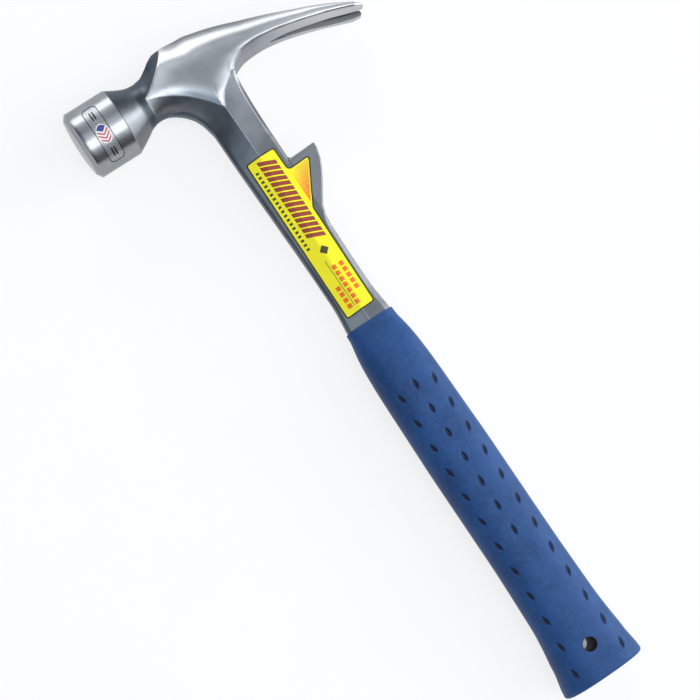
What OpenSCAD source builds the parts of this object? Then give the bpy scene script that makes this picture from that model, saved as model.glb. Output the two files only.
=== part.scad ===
// Framing hammer, forged in one piece with a side tooth, a moulded grip and two film labels.
// It lies on its side: X runs from the bell to the claw, Y from the butt to the head, Z is its thickness.
// Lengths along X are measured from the handle's axis, and along Y from the bell's own axis.

/* [Bell] */
// Handle axis to the middle of the striking face
poll_reach = 77.8; // [72:0.1:90]
// Diameter of the bell
bell_d = 38.9; // [35:0.1:42]
// Length of the straight side of the bell
bell_len = 24.3; // [20:0.1:27]
// How far the cone behind the bell starts inside the bell's rear edge
cone_step = 0.3; // [0.1:0.1:0.8]
// Bevel between the bell's side and its face, along the bell
face_bevel = 2.1; // [1:0.1:3]
// Bevel between the bell's side and its face, across the bell
face_bevel_w = 2.9; // [1.5:0.1:4]
// Height of the crown of the striking face
face_crown = 1.3; // [0.5:0.1:2]
// Diameter of the poll at its waist
waist_d = 24.4; // [22:0.1:26]
// Handle axis to the waist
waist_reach = 34.5; // [33:0.1:38]
// How far the middle of the waist lies above the bell's axis
waist_rise = 1.3; // [0:0.1:2]

/* [Cheek] */
// Thickness of the head over its cheeks
cheek_t = 27; // [25:0.1:30]
// Bell axis up to the top of the head
head_rise = 21.2; // [20:0.1:22.5]
// Height of the crown of the head's top
top_crown = 0.4; // [0.2:0.1:1]
// Bell axis down to the lower point of the cheek
cheek_drop = 24.8; // [23:0.1:27]
// Bell axis down to where the crook has become the neck
crook_drop = 35; // [33:0.5:38]
// Rounding of the head's upper edges
top_round = 5; // [3:0.1:6]
// Bevel along the lower edges of the head
edge_bevel = 0.9; // [0.4:0.1:1.2]

/* [Claw] */
// Handle axis to the tips of the claw
claw_reach = 91.5; // [84:0.1:98]
// Bell axis down to the underside of the tips
claw_drop = 19.3; // [14:0.1:24]
// Width over both tines near the tips
claw_w = 31; // [29:0.1:36]
// Thickness of the claw at its root
claw_root_t = 18.8; // [17:0.1:20]
// Thickness of the tips
tip_t = 2; // [1.6:0.1:3]
// Length of the outer corners that are cut off the tines
tip_cut = 4.6; // [2:0.1:6]
// How far those corners are cut in from the side
tip_cut_w = 4; // [2:0.1:5]
// Length of the nail slot from the tips
slot_len = 49; // [40:0.5:54]
// Width of the nail slot at the tips, on the outer face
slot_w = 6.4; // [5:0.1:9]
// Bevel of each wall of the nail slot, measured on the underside
slot_bevel = 2.6; // [1:0.1:3]

/* [Neck] */
// Width of the neck at the head and at the grip
neck_w = 26.2; // [24.6:0.1:27]
// Width of the neck at its narrowest
neck_waist_w = 23.4; // [21:0.1:24.4]
// Thickness of the neck over its ridges
neck_t = 12.6; // [11:0.1:15]
// Thickness of the neck's edges
neck_edge_t = 6.4; // [5:0.1:7.4]
// Bevel beside the neck's edges
neck_bevel = 1.7; // [1:0.1:2.5]
// Bell axis to the top rim of the grip
neck_len = 162; // [150:0.5:190]

/* [Tooth] */
// How far the tooth stands out from the neck
tooth_reach = 16.3; // [10:0.1:20]
// Height of the tooth along the neck
tooth_h = 34; // [28:0.5:38]
// Bell axis to the upper edge of the tooth
tooth_drop = 66.2; // [60:0.1:76]
// How far the upper edge rises towards the tip
tooth_lift = 0.9; // [0:0.1:2]
// Thickness of the tooth
tooth_t = 7.8; // [7.5:0.1:9]

/* [Tang] */
// Width of the tang inside the grip
tang_w = 16; // [14:0.1:18]
// Thickness of the tang inside the grip
tang_t = 7.6; // [6.5:0.1:9]
// Thickness of the tang's web
web_t = 3.6; // [2.5:0.1:5]
// Width of each flange of the tang
flange_w = 4; // [3:0.1:5]
// How far the neck goes into the grip before the tang begins
neck_seat = 5; // [3:0.1:8]
// Distance between the end of the tang and the lanyard hole
tang_gap = 10; // [7:0.5:20]

/* [Grip] */
// Length of the grip
grip_len = 221.6; // [205:0.1:235]
// Width of the grip
grip_w = 37.1; // [35:0.1:40]
// Thickness of the grip
grip_t = 29; // [26:0.1:32]
// Wall of the grip round the neck at its top rim
rim_wall = 1.2; // [1:0.1:2]
// Width of the flared butt
butt_w = 47.4; // [44:0.1:52]
// Thickness of the flared butt
butt_t = 34; // [31:0.1:37]
// How far the butt leans towards the bell side
butt_lean = 1.3; // [0:0.1:2]
// Diameter of the lanyard hole
hole_d = 7.5; // [5:0.1:9]
// Butt end to the middle of the lanyard hole
hole_rise = 19.1; // [16:0.1:24]

/* [Dimples] */
// Length of a dimple
dimple_len = 7.4; // [5:0.1:9]
// Width of a dimple
dimple_w = 2.9; // [2:0.1:3.4]
// Depth of a dimple
dimple_depth = 1; // [0.5:0.1:1.4]
// Spacing of the dimples along the grip
dimple_pitch = 15.13; // [13:0.01:15.5]
// Butt end to the last dimple
dimple_rise = 10.7; // [9:0.1:14]
// Dimples in each side row
side_dimples = 12; // [4:1:12]
// Dimples in the middle row
mid_dimples = 7; // [2:1:9]

/* [Labels] */
// Thickness of the label films
label_t = 0.3; // [0.2:0.05:0.5]
// Width of the neck label
neck_label_w = 17.4; // [14:0.1:18.4]
// Length of the neck label
neck_label_len = 97.3; // [80:0.1:110]
// How far the neck label lies towards the bell side
neck_label_shift = 0.5; // [0:0.1:1]
// Top rim of the grip to the lower edge of the neck label
neck_label_gap = 7; // [2:0.1:12]
// Corner rounding of the neck label
neck_label_r = 1.6; // [0.5:0.1:2.5]
// Width of the bell label along the bell
bell_label_w = 8.9; // [6:0.1:12]
// Height of the bell label, measured straight across the bell
bell_label_h = 29.2; // [20:0.1:31]
// Striking face to the middle of the bell label
bell_label_at = 14.8; // [11:0.1:20]
// Bell axis down to the middle of the bell label
bell_label_drop = 2; // [0:0.1:3]

/* [Hidden] */

$fn = 96;
// How far cuts run past a face
overrun = 1;

bell_r = bell_d / 2;
waist_r = waist_d / 2;
// Handle axis to the rear edge of the bell's straight side
bell_back = poll_reach - face_crown - face_bevel - bell_len;
grip_top = -neck_len;
butt_end = -neck_len - grip_len;

// The box of the whole hammer, seen from the side, whose middle is the origin
mid_x = (claw_reach - poll_reach) / 2;
mid_y = (head_rise + top_crown + butt_end) / 2;

// Straight blend from a to b
function mix(a, b, share) = a + (b - a) * share;

// Slope of a table of [place, value] pairs at entry i
function slope(keys, i) =
    let (last = len(keys) - 1, a = keys[max(i - 1, 0)], b = keys[min(i + 1, last)])
    (b[1] - a[1]) / (b[0] - a[0]);

// Entry of a table after which place p lies
function entry(keys, p, i = 0) =
    i >= len(keys) - 2 || p < keys[i + 1][0] ? i : entry(keys, p, i + 1);

// Smooth curve through a table of [place, value] pairs
function flow(keys, p) =
    let (
        i = entry(keys, p),
        a = keys[i],
        b = keys[i + 1],
        span = b[0] - a[0],
        u = min(max((p - a[0]) / span, 0), 1),
        rise = u * u * (3 - 2 * u)
    )
    mix(a[1], b[1], rise)
    + span * (slope(keys, i) * u * (1 - u) * (1 - u) - slope(keys, i + 1) * u * u * (1 - u));

// A curve from a to b, bowed out to the left of its way by a share of its length
function bow(a, b, out_share, steps) =
    let (mid = (a + b) / 2 + out_share * [a[1] - b[1], b[0] - a[0]])
    [for (k = [0 : steps - 1]) let (u = k / steps)
        a * (1 - u) * (1 - u) + mid * 2 * u * (1 - u) + b * u * u];

// A ring of points and its mirror image in the first axis
function both_sides(half) =
    concat(half, [for (k = [len(half) - 2 : -1 : 1]) [-half[k][0], half[k][1]]]);

// Solid through rings of equally many points
module loft(rings) {
    n = len(rings[0]);
    sides = [for (r = [0 : len(rings) - 2]) for (k = [0 : n - 1])
        let (a = r * n + k, b = r * n + (k + 1) % n)
        each [[a, b + n, b], [a, a + n, b + n]]];
    first = [for (k = [0 : n - 1]) k];
    last = [for (k = [n - 1 : -1 : 0]) (len(rings) - 1) * n + k];
    polyhedron([for (ring = rings) each ring], concat([first], sides, [last]));
}

// Head: cone, cheeks and claw, as sections across the bell's axis.
// A place is a share of the waist's reach on the bell side, and of the claw's reach on the claw side.

function head_x(p) = p < 0 ? p * waist_reach : p * claw_reach;

// Upper edge on the bell side, as shares of the head's rise
bell_top_shares = [[-1, 0.63], [-0.89, 0.635], [-0.745, 0.745], [-0.61, 0.887], [-0.44, 0.985],
    [-0.32, 1], [0, 0.98]];
// Upper edge on the claw side, from the head's rise down to the tips
claw_top_shares = [[0, 0.0115], [0.07, 0.062], [0.195, 0.14], [0.35, 0.28], [0.493, 0.413],
    [0.623, 0.545], [0.75, 0.678], [0.863, 0.816], [0.963, 0.953], [1, 1]];
// Upper crease of the cheek on the bell side, as shares of the head's rise
crease_shares = [[-1, 0.04], [-0.762, 0.25], [-0.609, 0.462], [-0.487, 0.72], [-0.41, 0.92]];
crease_end = -0.41;
// Rounding of the upper edges, as shares of its largest
round_shares = [[-0.41, 0.34], [-0.3, 0.6], [-0.15, 0.9], [0, 1], [0.3, 0.9], [1, 0.3]];
// Lower crease of the cheek on the bell side, as shares of the cheek's drop
keel_shares = [[-1, -0.02], [-0.762, 0.09], [-0.53, 0.274], [-0.3, 0.524], [-0.145, 0.775], [0, 1]];
// Lower crease on the claw side, from the cheek's point to the root of the claw
rise_shares = [[0, 0], [0.021, 0.22], [0.073, 0.525], [0.129, 0.73], [0.178, 0.91], [0.236, 1]];
// Where the claw's thickness at its root is measured
root_share = 0.236;
// Thickness of the claw from its tips to its root
taper_shares = [[0.236, 1], [0.295, 0.875], [0.383, 0.72], [0.467, 0.571], [0.589, 0.435],
    [0.71, 0.315], [0.833, 0.208], [0.907, 0.137], [0.962, 0.07], [1, 0]];
// Lower edge on the bell side, from the underside of the waist to the crook's drop
crook_shares = [[-1, 0], [-0.936, 0], [-0.797, 0.003], [-0.7, 0.075], [-0.603, 0.198], [-0.53, 0.31],
    [-0.47, 0.43], [-0.414, 0.638], [-0.391, 0.86], [-0.38, 1], [-0.29, 0.92], [-0.145, 0.78], [0, 0.64]];
// How far the lower edge lies below the crease on the claw side, as shares of the cheek's drop
dip_shares = [[0, 0.06], [0.073, 0.43], [0.131, 0.54], [0.141, 0.42], [0.153, 0.19], [0.175, 0.13],
    [0.208, 0.075], [0.24, 0.05], [0.284, 0.042], [0.37, 0.016], [0.9, 0.01], [1, 0.002]];
// Half width of the upper edge, as shares of the cheek's
top_w_shares = [[-1, 0.6], [-0.89, 0.5], [-0.745, 0.42], [-0.61, 0.55], [-0.487, 0.75], [-0.41, 0.9]];
// Half width of the lower edge, as shares of the cheek's
low_w_shares = [[-1, 0.6], [-0.797, 0.55], [-0.603, 0.42], [-0.47, 0.36], [-0.38, 0.3],
    [-0.29, 0.41], [-0.145, 0.68], [0, 1.01], [0.073, 0.64], [0.131, 0.36], [0.141, 0.36],
    [0.153, 0.46], [0.175, 0.7], [0.208, 0.9], [0.24, 1], [1, 1]];
// How hollow the surface above the cheek's crease is, and how round the upper edge beyond it
hollow_shares = [[-1, 0], [-0.7, 0.12], [-0.5, 0.1], [-0.42, 0], [-0.41, -0.12], [-0.2, -0.2], [1, -0.2]];
// How hollow the surface below the cheek's crease is
under_shares = [[-1, 0], [-0.7, 0.13], [-0.38, 0.13], [-0.15, 0.06], [0, 0], [0.14, 0.06], [0.24, 0], [1, 0]];
// How far the round poll has turned into the faceted head
facet_shares = [[-1.1, 0], [-1, 0], [-0.86, 0.6], [-0.72, 1], [1, 1]];
// How far the cone has narrowed on its way from the bell to the waist, and how far its middle has risen
cone_shares = [[0, 0], [0.31, 0.38], [0.58, 0.7], [0.81, 0.92], [1, 1]];
cone_rise_shares = [[0, 0], [0.31, 0], [0.58, 0.23], [0.81, 0.73], [1, 1]];

function top_y(p) = p < 0
    ? head_rise * flow(bell_top_shares, p)
    : mix(head_rise, tip_t - claw_drop, flow(claw_top_shares, p));

function claw_t(p) = mix(tip_t, claw_root_t, flow(taper_shares, p));

root_y = top_y(root_share) - claw_root_t;

function crease_y(p) = p < crease_end
    ? head_rise * lookup(p, crease_shares)
    : top_y(p) - min(top_round * lookup(p, round_shares), claw_t(max(p, root_share)) / 2);

function keel_y(p) = p < 0 ? -cheek_drop * lookup(p, keel_shares)
    : p < root_share ? mix(-cheek_drop, root_y, lookup(p, rise_shares))
    : top_y(p) - claw_t(p);

function low_y(p) = p < 0
    ? mix(waist_rise - waist_r, -crook_drop, lookup(p, crook_shares))
    : keel_y(p) - cheek_drop * lookup(p, dip_shares);

// Half thickness, with the outer corners of the tines cut off
function head_z(p) =
    let (in_corner = min(max(head_x(p) - claw_reach + tip_cut, 0), tip_cut))
    mix(cheek_t, claw_w, max(p, 0)) / 2 - tip_cut_w * in_corner / tip_cut;

function top_half_w(p) = p < crease_end
    ? head_z(p) * lookup(p, top_w_shares)
    : head_z(p) - min(top_round * lookup(p, round_shares), claw_t(max(p, root_share)) / 2);

steps_edge = 2;
steps_side = 4;
half_steps = 2 * steps_edge + 3 * steps_side;
side_crown = 0.012;

// One half section of the faceted head, as [z, y] from its top to its bottom
function faceted_half(p) =
    let (
        z = head_z(p),
        top = [0, top_y(p) + top_crown],
        upper = [top_half_w(p), top_y(p)],
        crease = [z, crease_y(p)],
        keel = [z, keel_y(p)],
        lower = [(z - edge_bevel) * lookup(p, low_w_shares), low_y(p)],
        bottom = [0, low_y(p)]
    )
    concat(
        bow(top, upper, 0, steps_edge),
        bow(upper, crease, -lookup(p, hollow_shares), steps_side),
        bow(crease, keel, side_crown, steps_side),
        bow(keel, lower, -lookup(p, under_shares), steps_side),
        bow(lower, bottom, 0, steps_edge),
        [bottom]);

// One half section of the round cone and poll, with as many points
function round_half(p) =
    let (
        cone_from = bell_back / waist_reach,
        done = min((cone_from + p) / (cone_from - 1), 1),
        r = mix(bell_r - cone_step, waist_r, flow(cone_shares, done)),
        rise = waist_rise * flow(cone_rise_shares, done)
    )
    [for (k = [0 : half_steps]) let (turn = 180 * k / half_steps)
        [r * sin(turn), rise + r * cos(turn)]];

function head_ring(p) =
    let (
        turned = lookup(p, facet_shares),
        round_pts = round_half(p),
        facet_pts = faceted_half(max(p, -1)),
        half = [for (k = [0 : half_steps]) mix(round_pts[k], facet_pts[k], turned)]
    )
    [for (q = both_sides(half)) [head_x(p), q[1], q[0]]];

// Places of the sections: the cone, the poll and cheek, the fillet under the claw, and the claw
cone_steps = 6;
head_places = concat(
    [for (k = [0 : cone_steps - 1]) -mix(bell_back / waist_reach, 1, k / cone_steps)],
    [-1, -0.95, -0.9, -0.85, -0.8, -0.745, -0.7, -0.65, -0.603, -0.56, -0.52, -0.487, -0.45, -0.41],
    [-0.391, -0.38, -0.34, -0.29, -0.24, -0.19, -0.145, -0.1, -0.05, 0, 0.021, 0.045, 0.073, 0.1],
    [0.131, 0.141, 0.153, 0.164, 0.178, 0.194, 0.21],
    [for (k = [0 : 12]) root_share + k * 0.055],
    [1 - tip_cut / claw_reach, 1]);

module cone_cheeks_and_claw() {
    loft([for (p = head_places) head_ring(p)]);
}

// V-shaped slot between the tines, with bevelled walls that open towards the underside
module nail_slot() {
    slot_root = claw_reach - slot_len;
    past = claw_reach + overrun;
    grow = past - slot_root;
    half_top = slot_w / 2 * grow / slot_len;
    half_low = half_top + slot_bevel;
    top_at = head_rise;
    drop = claw_drop + overrun;
    end_top = top_y(1) + overrun;
    hull() {
        translate([slot_root, -drop - claw_root_t, 0])
            cube([tip_t, drop + claw_root_t + top_at, tip_t / 2]);
        translate([past, end_top, -half_top])
            cube([tip_t, top_at, 2 * half_top]);
        translate([past, -drop - claw_root_t, -half_low])
            cube([tip_t, claw_root_t, 2 * half_low]);
    }
}

// Bell: straight side with a bevelled and crowned face
module bell() {
    face_r = bell_r - face_bevel_w;
    crown_steps = 8;
    crown = [for (k = [0 : crown_steps]) let (u = k / crown_steps)
        [face_r * u, poll_reach - face_crown * u * u]];
    rotate([0, -90, 0])
        rotate_extrude()
            polygon(concat(crown, [
                [bell_r, bell_back + bell_len],
                [bell_r, bell_back],
                [0, bell_back]]));
}

// Neck, as sections across the handle axis, from inside the head to inside the grip

// Bell axis to the end of the neck
neck_end = neck_len + neck_seat;
// Where the neck begins, inside the head
neck_from = cheek_drop * 0.35;
// How much wider the neck is on the bell side, beside the crook
crook_w_shares = [[0.05, 0.2], [0.14, 0.16], [0.162, 0.09], [0.196, 0.03], [0.23, 0]];
// How far the neck has narrowed to its narrowest width
narrow_shares = [[0, 0], [0.24, 0], [0.36, 0.1], [0.54, 0.43], [0.71, 0.85], [0.85, 1], [0.9, 0.97],
    [0.95, 0.6], [0.99, 0.05], [1.1, 0]];
// How far the ridge has sunk from the cheek to the neck's own thickness
ridge_shares = [[0.05, 0.02], [0.153, 0.04], [0.2, 0.4], [0.25, 0.7], [0.32, 0.93], [0.38, 1], [1.1, 1]];

function neck_half_w(share) = mix(neck_w, neck_waist_w, flow(narrow_shares, share)) / 2;

function neck_ring(share, lift = 0) =
    let (
        y = -neck_len * share,
        right = neck_half_w(share),
        left = neck_half_w(share) * (1 + lookup(share, crook_w_shares)),
        ridge = mix(cheek_t, neck_t, flow(ridge_shares, share)) / 2 + lift,
        edge = neck_edge_t / 2,
        shoulder = edge + neck_bevel / 2,
        land = neck_bevel / 4,
        half = concat(
            [[right + lift, edge], [right + lift - neck_bevel, shoulder + lift]],
            bow([right - neck_bevel * 2, mix(ridge, shoulder + lift, 0.93)], [land, ridge], 0, 2),
            [[land, ridge], [-land, ridge]],
            bow([-land, ridge], [neck_bevel - left, shoulder + lift], 0, 2),
            [[neck_bevel - left, shoulder + lift], [-left - lift, edge]])
    )
    concat(
        [for (q = half) [q[0], y, q[1]]],
        [for (k = [len(half) - 1 : -1 : 0]) [half[k][0], y, -half[k][1]]]);

module neck(lift = 0) {
    places = concat(
        [neck_from / neck_len, 0.1, 0.14, 0.162, 0.18, 0.196, 0.215, 0.23, 0.25, 0.28, 0.32, 0.38],
        [0.46, 0.54, 0.62, 0.71, 0.78, 0.85, 0.9, 0.925, 0.95, 0.97, 0.99, neck_end / neck_len]);
    loft([for (share = places) neck_ring(share, lift)]);
}

// Tooth beside the neck, seen from the side
module tooth_outline(grow = 0) {
    edge_x = neck_half_w(tooth_drop / neck_len);
    tip_x = edge_x + tooth_reach;
    top = -tooth_drop;
    foot = top - tooth_h;
    // The outer edge from the tip down to the neck, as shares of the tooth
    outer_shares = [[0.98, 0.1], [0.88, 0.26], [0.71, 0.42], [0.51, 0.58], [0.28, 0.74], [0.06, 0.9], [0, 1]];
    polygon(concat(
        [[0, top + grow], [edge_x, top + grow], [tip_x + grow, top + tooth_lift + grow]],
        [for (q = outer_shares) [edge_x + grow + tooth_reach * q[0], top - tooth_h * q[1]]],
        [[0, foot]]));
}

module tooth(lift = 0) {
    linear_extrude(tooth_t + 2 * lift, center = true) tooth_outline(lift);
}

// Tang: a flanged bar that runs down inside the grip and ends above the lanyard hole
tang_end = -butt_end - hole_rise - hole_d / 2 - tang_gap;
module tang() {
    half_w = tang_w / 2;
    half_t = tang_t / 2;
    bar_from = -neck_end + overrun;
    translate([0, bar_from, 0])
        rotate([90, 0, 0])
            linear_extrude(tang_end + bar_from)
                difference() {
                    square([tang_w, tang_t], center = true);
                    for (side = [-1, 1])
                        translate([0, side * (half_t + web_t / 2) / 2])
                            square([2 * (half_w - flange_w), half_t - web_t / 2], center = true);
                }
}

module forging_shape() {
    difference() {
        cone_cheeks_and_claw();
        nail_slot();
    }
    bell();
    neck();
    tooth();
    tang();
}

// Everything stands with the middle of the box's underside at the origin
module placed() {
    translate([-mid_x, -mid_y, bell_r]) children();
}

module forging() {
    color("silver") placed() forging_shape();
}

// Grip, as sections across the handle axis. A place is a share of its length from the top rim.

// From the rim's width to the grip's
swell_shares = [[0, 0], [0.016, 0.03], [0.04, 0.235], [0.064, 0.435], [0.088, 0.576], [0.112, 0.67],
    [0.16, 0.79], [0.207, 0.85], [0.3, 0.93], [0.4, 1], [1, 1]];
// From the grip's width to the butt's
flare_shares = [[0, 0], [0.632, 0], [0.726, 0.06], [0.773, 0.11], [0.819, 0.165], [0.866, 0.32],
    [0.889, 0.43], [0.912, 0.55], [0.935, 0.64], [0.958, 0.81], [0.981, 0.96], [1, 1]];
// Squareness of the sections
grip_power = 2.3;
rim_power = 2.8;
rim_round = rim_wall / 2;
butt_round = hole_d / 4;
butt_dome = butt_round / 3;
rim_w = neck_w + 2 * rim_wall;
rim_t = neck_t + 4 * rim_wall;

function grip_swell(u) = flow(swell_shares, u);
function grip_flare(u) = flow(flare_shares, u);
function grip_half_w(u) = mix(mix(rim_w, grip_w, grip_swell(u)), butt_w, grip_flare(u)) / 2;
function grip_half_t(u) = mix(mix(rim_t, grip_t, grip_swell(u)), butt_t, grip_flare(u)) / 2;
function grip_power_at(u) = mix(rim_power, grip_power, min(1, 4 * u));
function grip_x(u) = -butt_lean * grip_flare(u);
function grip_y(u) = grip_top - grip_len * u;

function grip_ring(u, inset = 0, out = 0) =
    let (
        a = grip_half_w(u) - inset,
        b = grip_half_t(u) - inset,
        power = 2 / grip_power_at(u),
        count = 36
    )
    [for (k = [0 : count - 1]) let (c = cos(360 * k / count), s = sin(360 * k / count))
        [grip_x(u) + a * sign(c) * pow(abs(c), power), grip_y(u) + out,
            b * sign(s) * pow(abs(s), power)]];

// Height of the grip's surface beside the handle axis
function grip_z(u, x) =
    let (n = grip_power_at(u))
    grip_half_t(u) * pow(1 - pow(abs(x - grip_x(u)) / grip_half_w(u), n), 1 / n);

// How far the surface there leans outwards
function grip_tilt(u, x) =
    let (
        n = grip_power_at(u),
        off = (x - grip_x(u)) / grip_half_w(u),
        up = grip_z(u, x) / grip_half_t(u)
    )
    atan2(sign(off) * pow(abs(off), n - 1) / grip_half_w(u), pow(up, n - 1) / grip_half_t(u));

module grip_body() {
    rim_u = rim_round / grip_len;
    butt_u = 1 - (butt_round + butt_dome) / grip_len;
    places = [rim_u, 0.02, 0.044, 0.067, 0.09, 0.114, 0.16, 0.21, 0.3, 0.4, 0.52, 0.63, 0.68, 0.73,
        0.78, 0.82, 0.85, 0.87, 0.89, 0.905, 0.92, 0.93, 0.94, 0.95, 0.962, 0.974];
    loft(concat(
        [grip_ring(0, rim_round)],
        [for (u = places) grip_ring(u)],
        [for (k = [0 : 3]) let (round_turn = 90 * k / 3)
            grip_ring(butt_u, butt_round * (1 - cos(round_turn)), -butt_round * sin(round_turn))],
        [grip_ring(butt_u, grip_half_t(1) / 2, -butt_round - butt_dome * 3 / 4)],
        [grip_ring(butt_u, grip_half_t(1) * 3 / 4, -butt_round - butt_dome)]));
}

// One dimple's hollow, pointed at both ends, with its mouth at the surface
module dimple() {
    reach_shares = [-1, -0.8, -0.4, 0, 0.4, 0.8, 1];
    least_share = 0.02;
    loft([for (q = reach_shares) let (fill = max(1 - q * q, least_share), half = dimple_w / 2 * fill) [
        [-half, dimple_len / 2 * q, overrun],
        [half, dimple_len / 2 * q, overrun],
        [half, dimple_len / 2 * q, 0],
        [0, dimple_len / 2 * q, -dimple_depth * fill],
        [-half, dimple_len / 2 * q, 0]]]);
}

// Turn of the side dimples, whose lower ends point inwards on the bell side and the claw side
dimple_turn = 17;
// Where the side rows lie, as shares of the grip's half width at its top and at its butt
row_shares = [0.565, 0.66];
// The middle row lies nearer the head, by this share of the spacing
mid_shift_share = 0.185;

module dimple_at(rise, side) {
    u = 1 - rise / grip_len;
    x = grip_x(u) + side * grip_half_w(u) * mix(row_shares[0], row_shares[1], u);
    translate([x, grip_y(u), grip_z(u, x)])
        rotate([0, grip_tilt(u, x), 0])
            rotate([0, 0, -side * dimple_turn])
                dimple();
}

module dimples() {
    first_rise = dimple_rise + (side_dimples - 1) * dimple_pitch;
    for (side = [-1, 1])
        for (k = [0 : side_dimples - 1])
            dimple_at(first_rise - k * dimple_pitch, side);
    for (k = [0 : mid_dimples - 1])
        dimple_at(first_rise - (k - mid_shift_share) * dimple_pitch, 0);
}

module grip() {
    color("royalblue") placed()
        difference() {
            grip_body();
            dimples();
            mirror([0, 0, 1]) dimples();
            translate([grip_x(1 - hole_rise / grip_len), butt_end + hole_rise, 0])
                cylinder(d = hole_d, h = butt_t + overrun, center = true);
            neck();
            tang();
        }
}

// Films that lie on the steel

module neck_label_outline() {
    low = -neck_len + neck_label_gap;
    high = low + neck_label_len;
    flap_top = -tooth_drop - tooth_h * 0.14;
    flap_foot = -tooth_drop - tooth_h * 0.83;
    flap_x = neck_half_w(tooth_drop / neck_len) + tooth_reach * 0.62;
    side_x = neck_label_w / 2 - neck_label_shift;
    offset(r = neck_label_r) offset(delta = -neck_label_r) {
        translate([side_x - neck_label_w, low]) square([neck_label_w, high - low]);
        polygon([[0, flap_top], [flap_x, flap_top], [side_x, flap_foot], [0, flap_foot]]);
    }
}

module neck_label() {
    color("gold") placed()
        difference() {
            intersection() {
                linear_extrude(cheek_t) neck_label_outline();
                union() {
                    neck(label_t);
                    tooth(label_t);
                }
            }
            neck();
            tooth();
        }
}

module bell_label() {
    straight = bell_label_h - bell_label_w;
    color("white") placed()
        difference() {
            intersection() {
                translate([bell_label_at - poll_reach, -bell_label_drop, 0])
                    linear_extrude(bell_d) {
                        square([bell_label_w, straight], center = true);
                        for (side = [-1, 1])
                            translate([0, side * straight / 2]) circle(d = bell_label_w);
                    }
                rotate([0, -90, 0]) cylinder(r = bell_r + label_t, h = poll_reach);
            }
            rotate([0, -90, 0]) cylinder(r = bell_r, h = poll_reach);
        }
}

forging();
grip();
neck_label();
bell_label();
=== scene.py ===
import math

import bmesh
import bpy
import numpy as np
from mathutils import Euler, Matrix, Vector

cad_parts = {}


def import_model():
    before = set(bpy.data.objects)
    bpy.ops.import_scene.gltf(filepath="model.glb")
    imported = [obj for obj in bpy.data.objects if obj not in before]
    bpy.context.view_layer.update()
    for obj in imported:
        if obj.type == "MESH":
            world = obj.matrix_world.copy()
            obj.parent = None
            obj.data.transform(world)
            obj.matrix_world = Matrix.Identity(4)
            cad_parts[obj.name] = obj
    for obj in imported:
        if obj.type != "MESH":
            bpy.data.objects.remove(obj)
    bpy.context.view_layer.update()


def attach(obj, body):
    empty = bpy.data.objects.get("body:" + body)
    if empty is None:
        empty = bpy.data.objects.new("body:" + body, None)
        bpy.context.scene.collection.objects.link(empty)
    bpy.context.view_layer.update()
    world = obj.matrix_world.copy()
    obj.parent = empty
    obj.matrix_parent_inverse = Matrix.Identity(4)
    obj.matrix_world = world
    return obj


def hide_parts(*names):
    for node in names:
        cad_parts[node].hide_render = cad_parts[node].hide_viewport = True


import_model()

# Lengths below are in millimetres. X is measured from the handle's axis, with the bell at minus X,
# Y from the bell's own axis, with the head's top at plus Y, and Z from the middle of the thickness.
MM = 0.001
BODY = "root"

POLL_REACH = 77.8
BELL_R = 19.45
BELL_LEN = 24.3
FACE_BEVEL = 2.1
FACE_BEVEL_W = 2.9
FACE_CROWN = 1.3
BELL_BACK = FACE_CROWN + FACE_BEVEL + BELL_LEN - POLL_REACH
CONE_STEP = 0.3
WAIST_R = 12.2
WAIST_X = -34.5
WAIST_RISE = 1.3
CLAW_REACH = 91.5
TIP_CUT = 4.6
TIP_CUT_W = 4
SLOT_LEN = 49
SLOT_W = 6.4
EDGE_T = 6.4
TOOTH_T = 7.8
NECK_LEN = 162
NECK_SEAT = 5
GRIP_LEN = 221.6
GRIP_W = 37.1
GRIP_T = 29
BUTT_W = 47.4
BUTT_T = 34
BUTT_LEAN = 1.3
RIM_W = 28.6
RIM_T = 17.4
HOLE_R = 3.75
HOLE_RISE = 19.1
BUTT_END = -NECK_LEN - GRIP_LEN

# The hammer lies in the frame with the middle of its box's underside at the origin
HEAD_TOP = 21.6
MID_X = (CLAW_REACH - POLL_REACH) / 2
MID_Y = (HEAD_TOP + BUTT_END) / 2


def to_frame(points):
    """Local millimetres to the frame's metres."""
    return (np.asarray(points, float) - (MID_X, MID_Y, -BELL_R)) * MM


# Curves


def smooth(keys, at):
    """Smooth curve through (place, value) pairs that never swings past them."""
    x, y = np.array(keys, float).T
    at = np.clip(np.asarray(at, float), x[0], x[-1])
    span = np.diff(x)
    rise = np.diff(y) / span
    lean = np.concatenate([rise[:1], np.zeros(len(x) - 2), rise[-1:]])
    before, after = 2 * span[1:] + span[:-1], span[1:] + 2 * span[:-1]
    same = rise[:-1] * rise[1:] > 0
    safe = np.where(same, rise[:-1], 1), np.where(same, rise[1:], 1)
    lean[1:-1] = np.where(same, (before + after) / (before / safe[0] + after / safe[1]), 0)
    i = np.clip(np.searchsorted(x, at, side="right") - 1, 0, len(x) - 2)
    u = (at - x[i]) / span[i]
    return (y[i] * (1 + 2 * u) * (1 - u) ** 2 + y[i + 1] * u * u * (3 - 2 * u)
            + span[i] * (lean[i] * u * (1 - u) ** 2 - lean[i + 1] * u * u * (1 - u)))


def level(keys, at):
    """The smooth curve's value at one place."""
    return float(smooth(keys, at))


def grade(keys, at):
    """Straight lines through (place, value) pairs."""
    return np.interp(at, *np.array(keys, float).T)


def mix(a, b, share):
    return a + (b - a) * share


def line(a, b, steps, bow=0.0):
    """Points from a up to but not at b, bowed to the left of the way by a share of its length."""
    a, b = np.array(a, float), np.array(b, float)
    out = bow * np.array([a[1] - b[1], b[0] - a[0]])
    u = np.arange(steps)[:, None] / steps
    return a + (b - a) * u + out * 4 * u * (1 - u)


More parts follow.
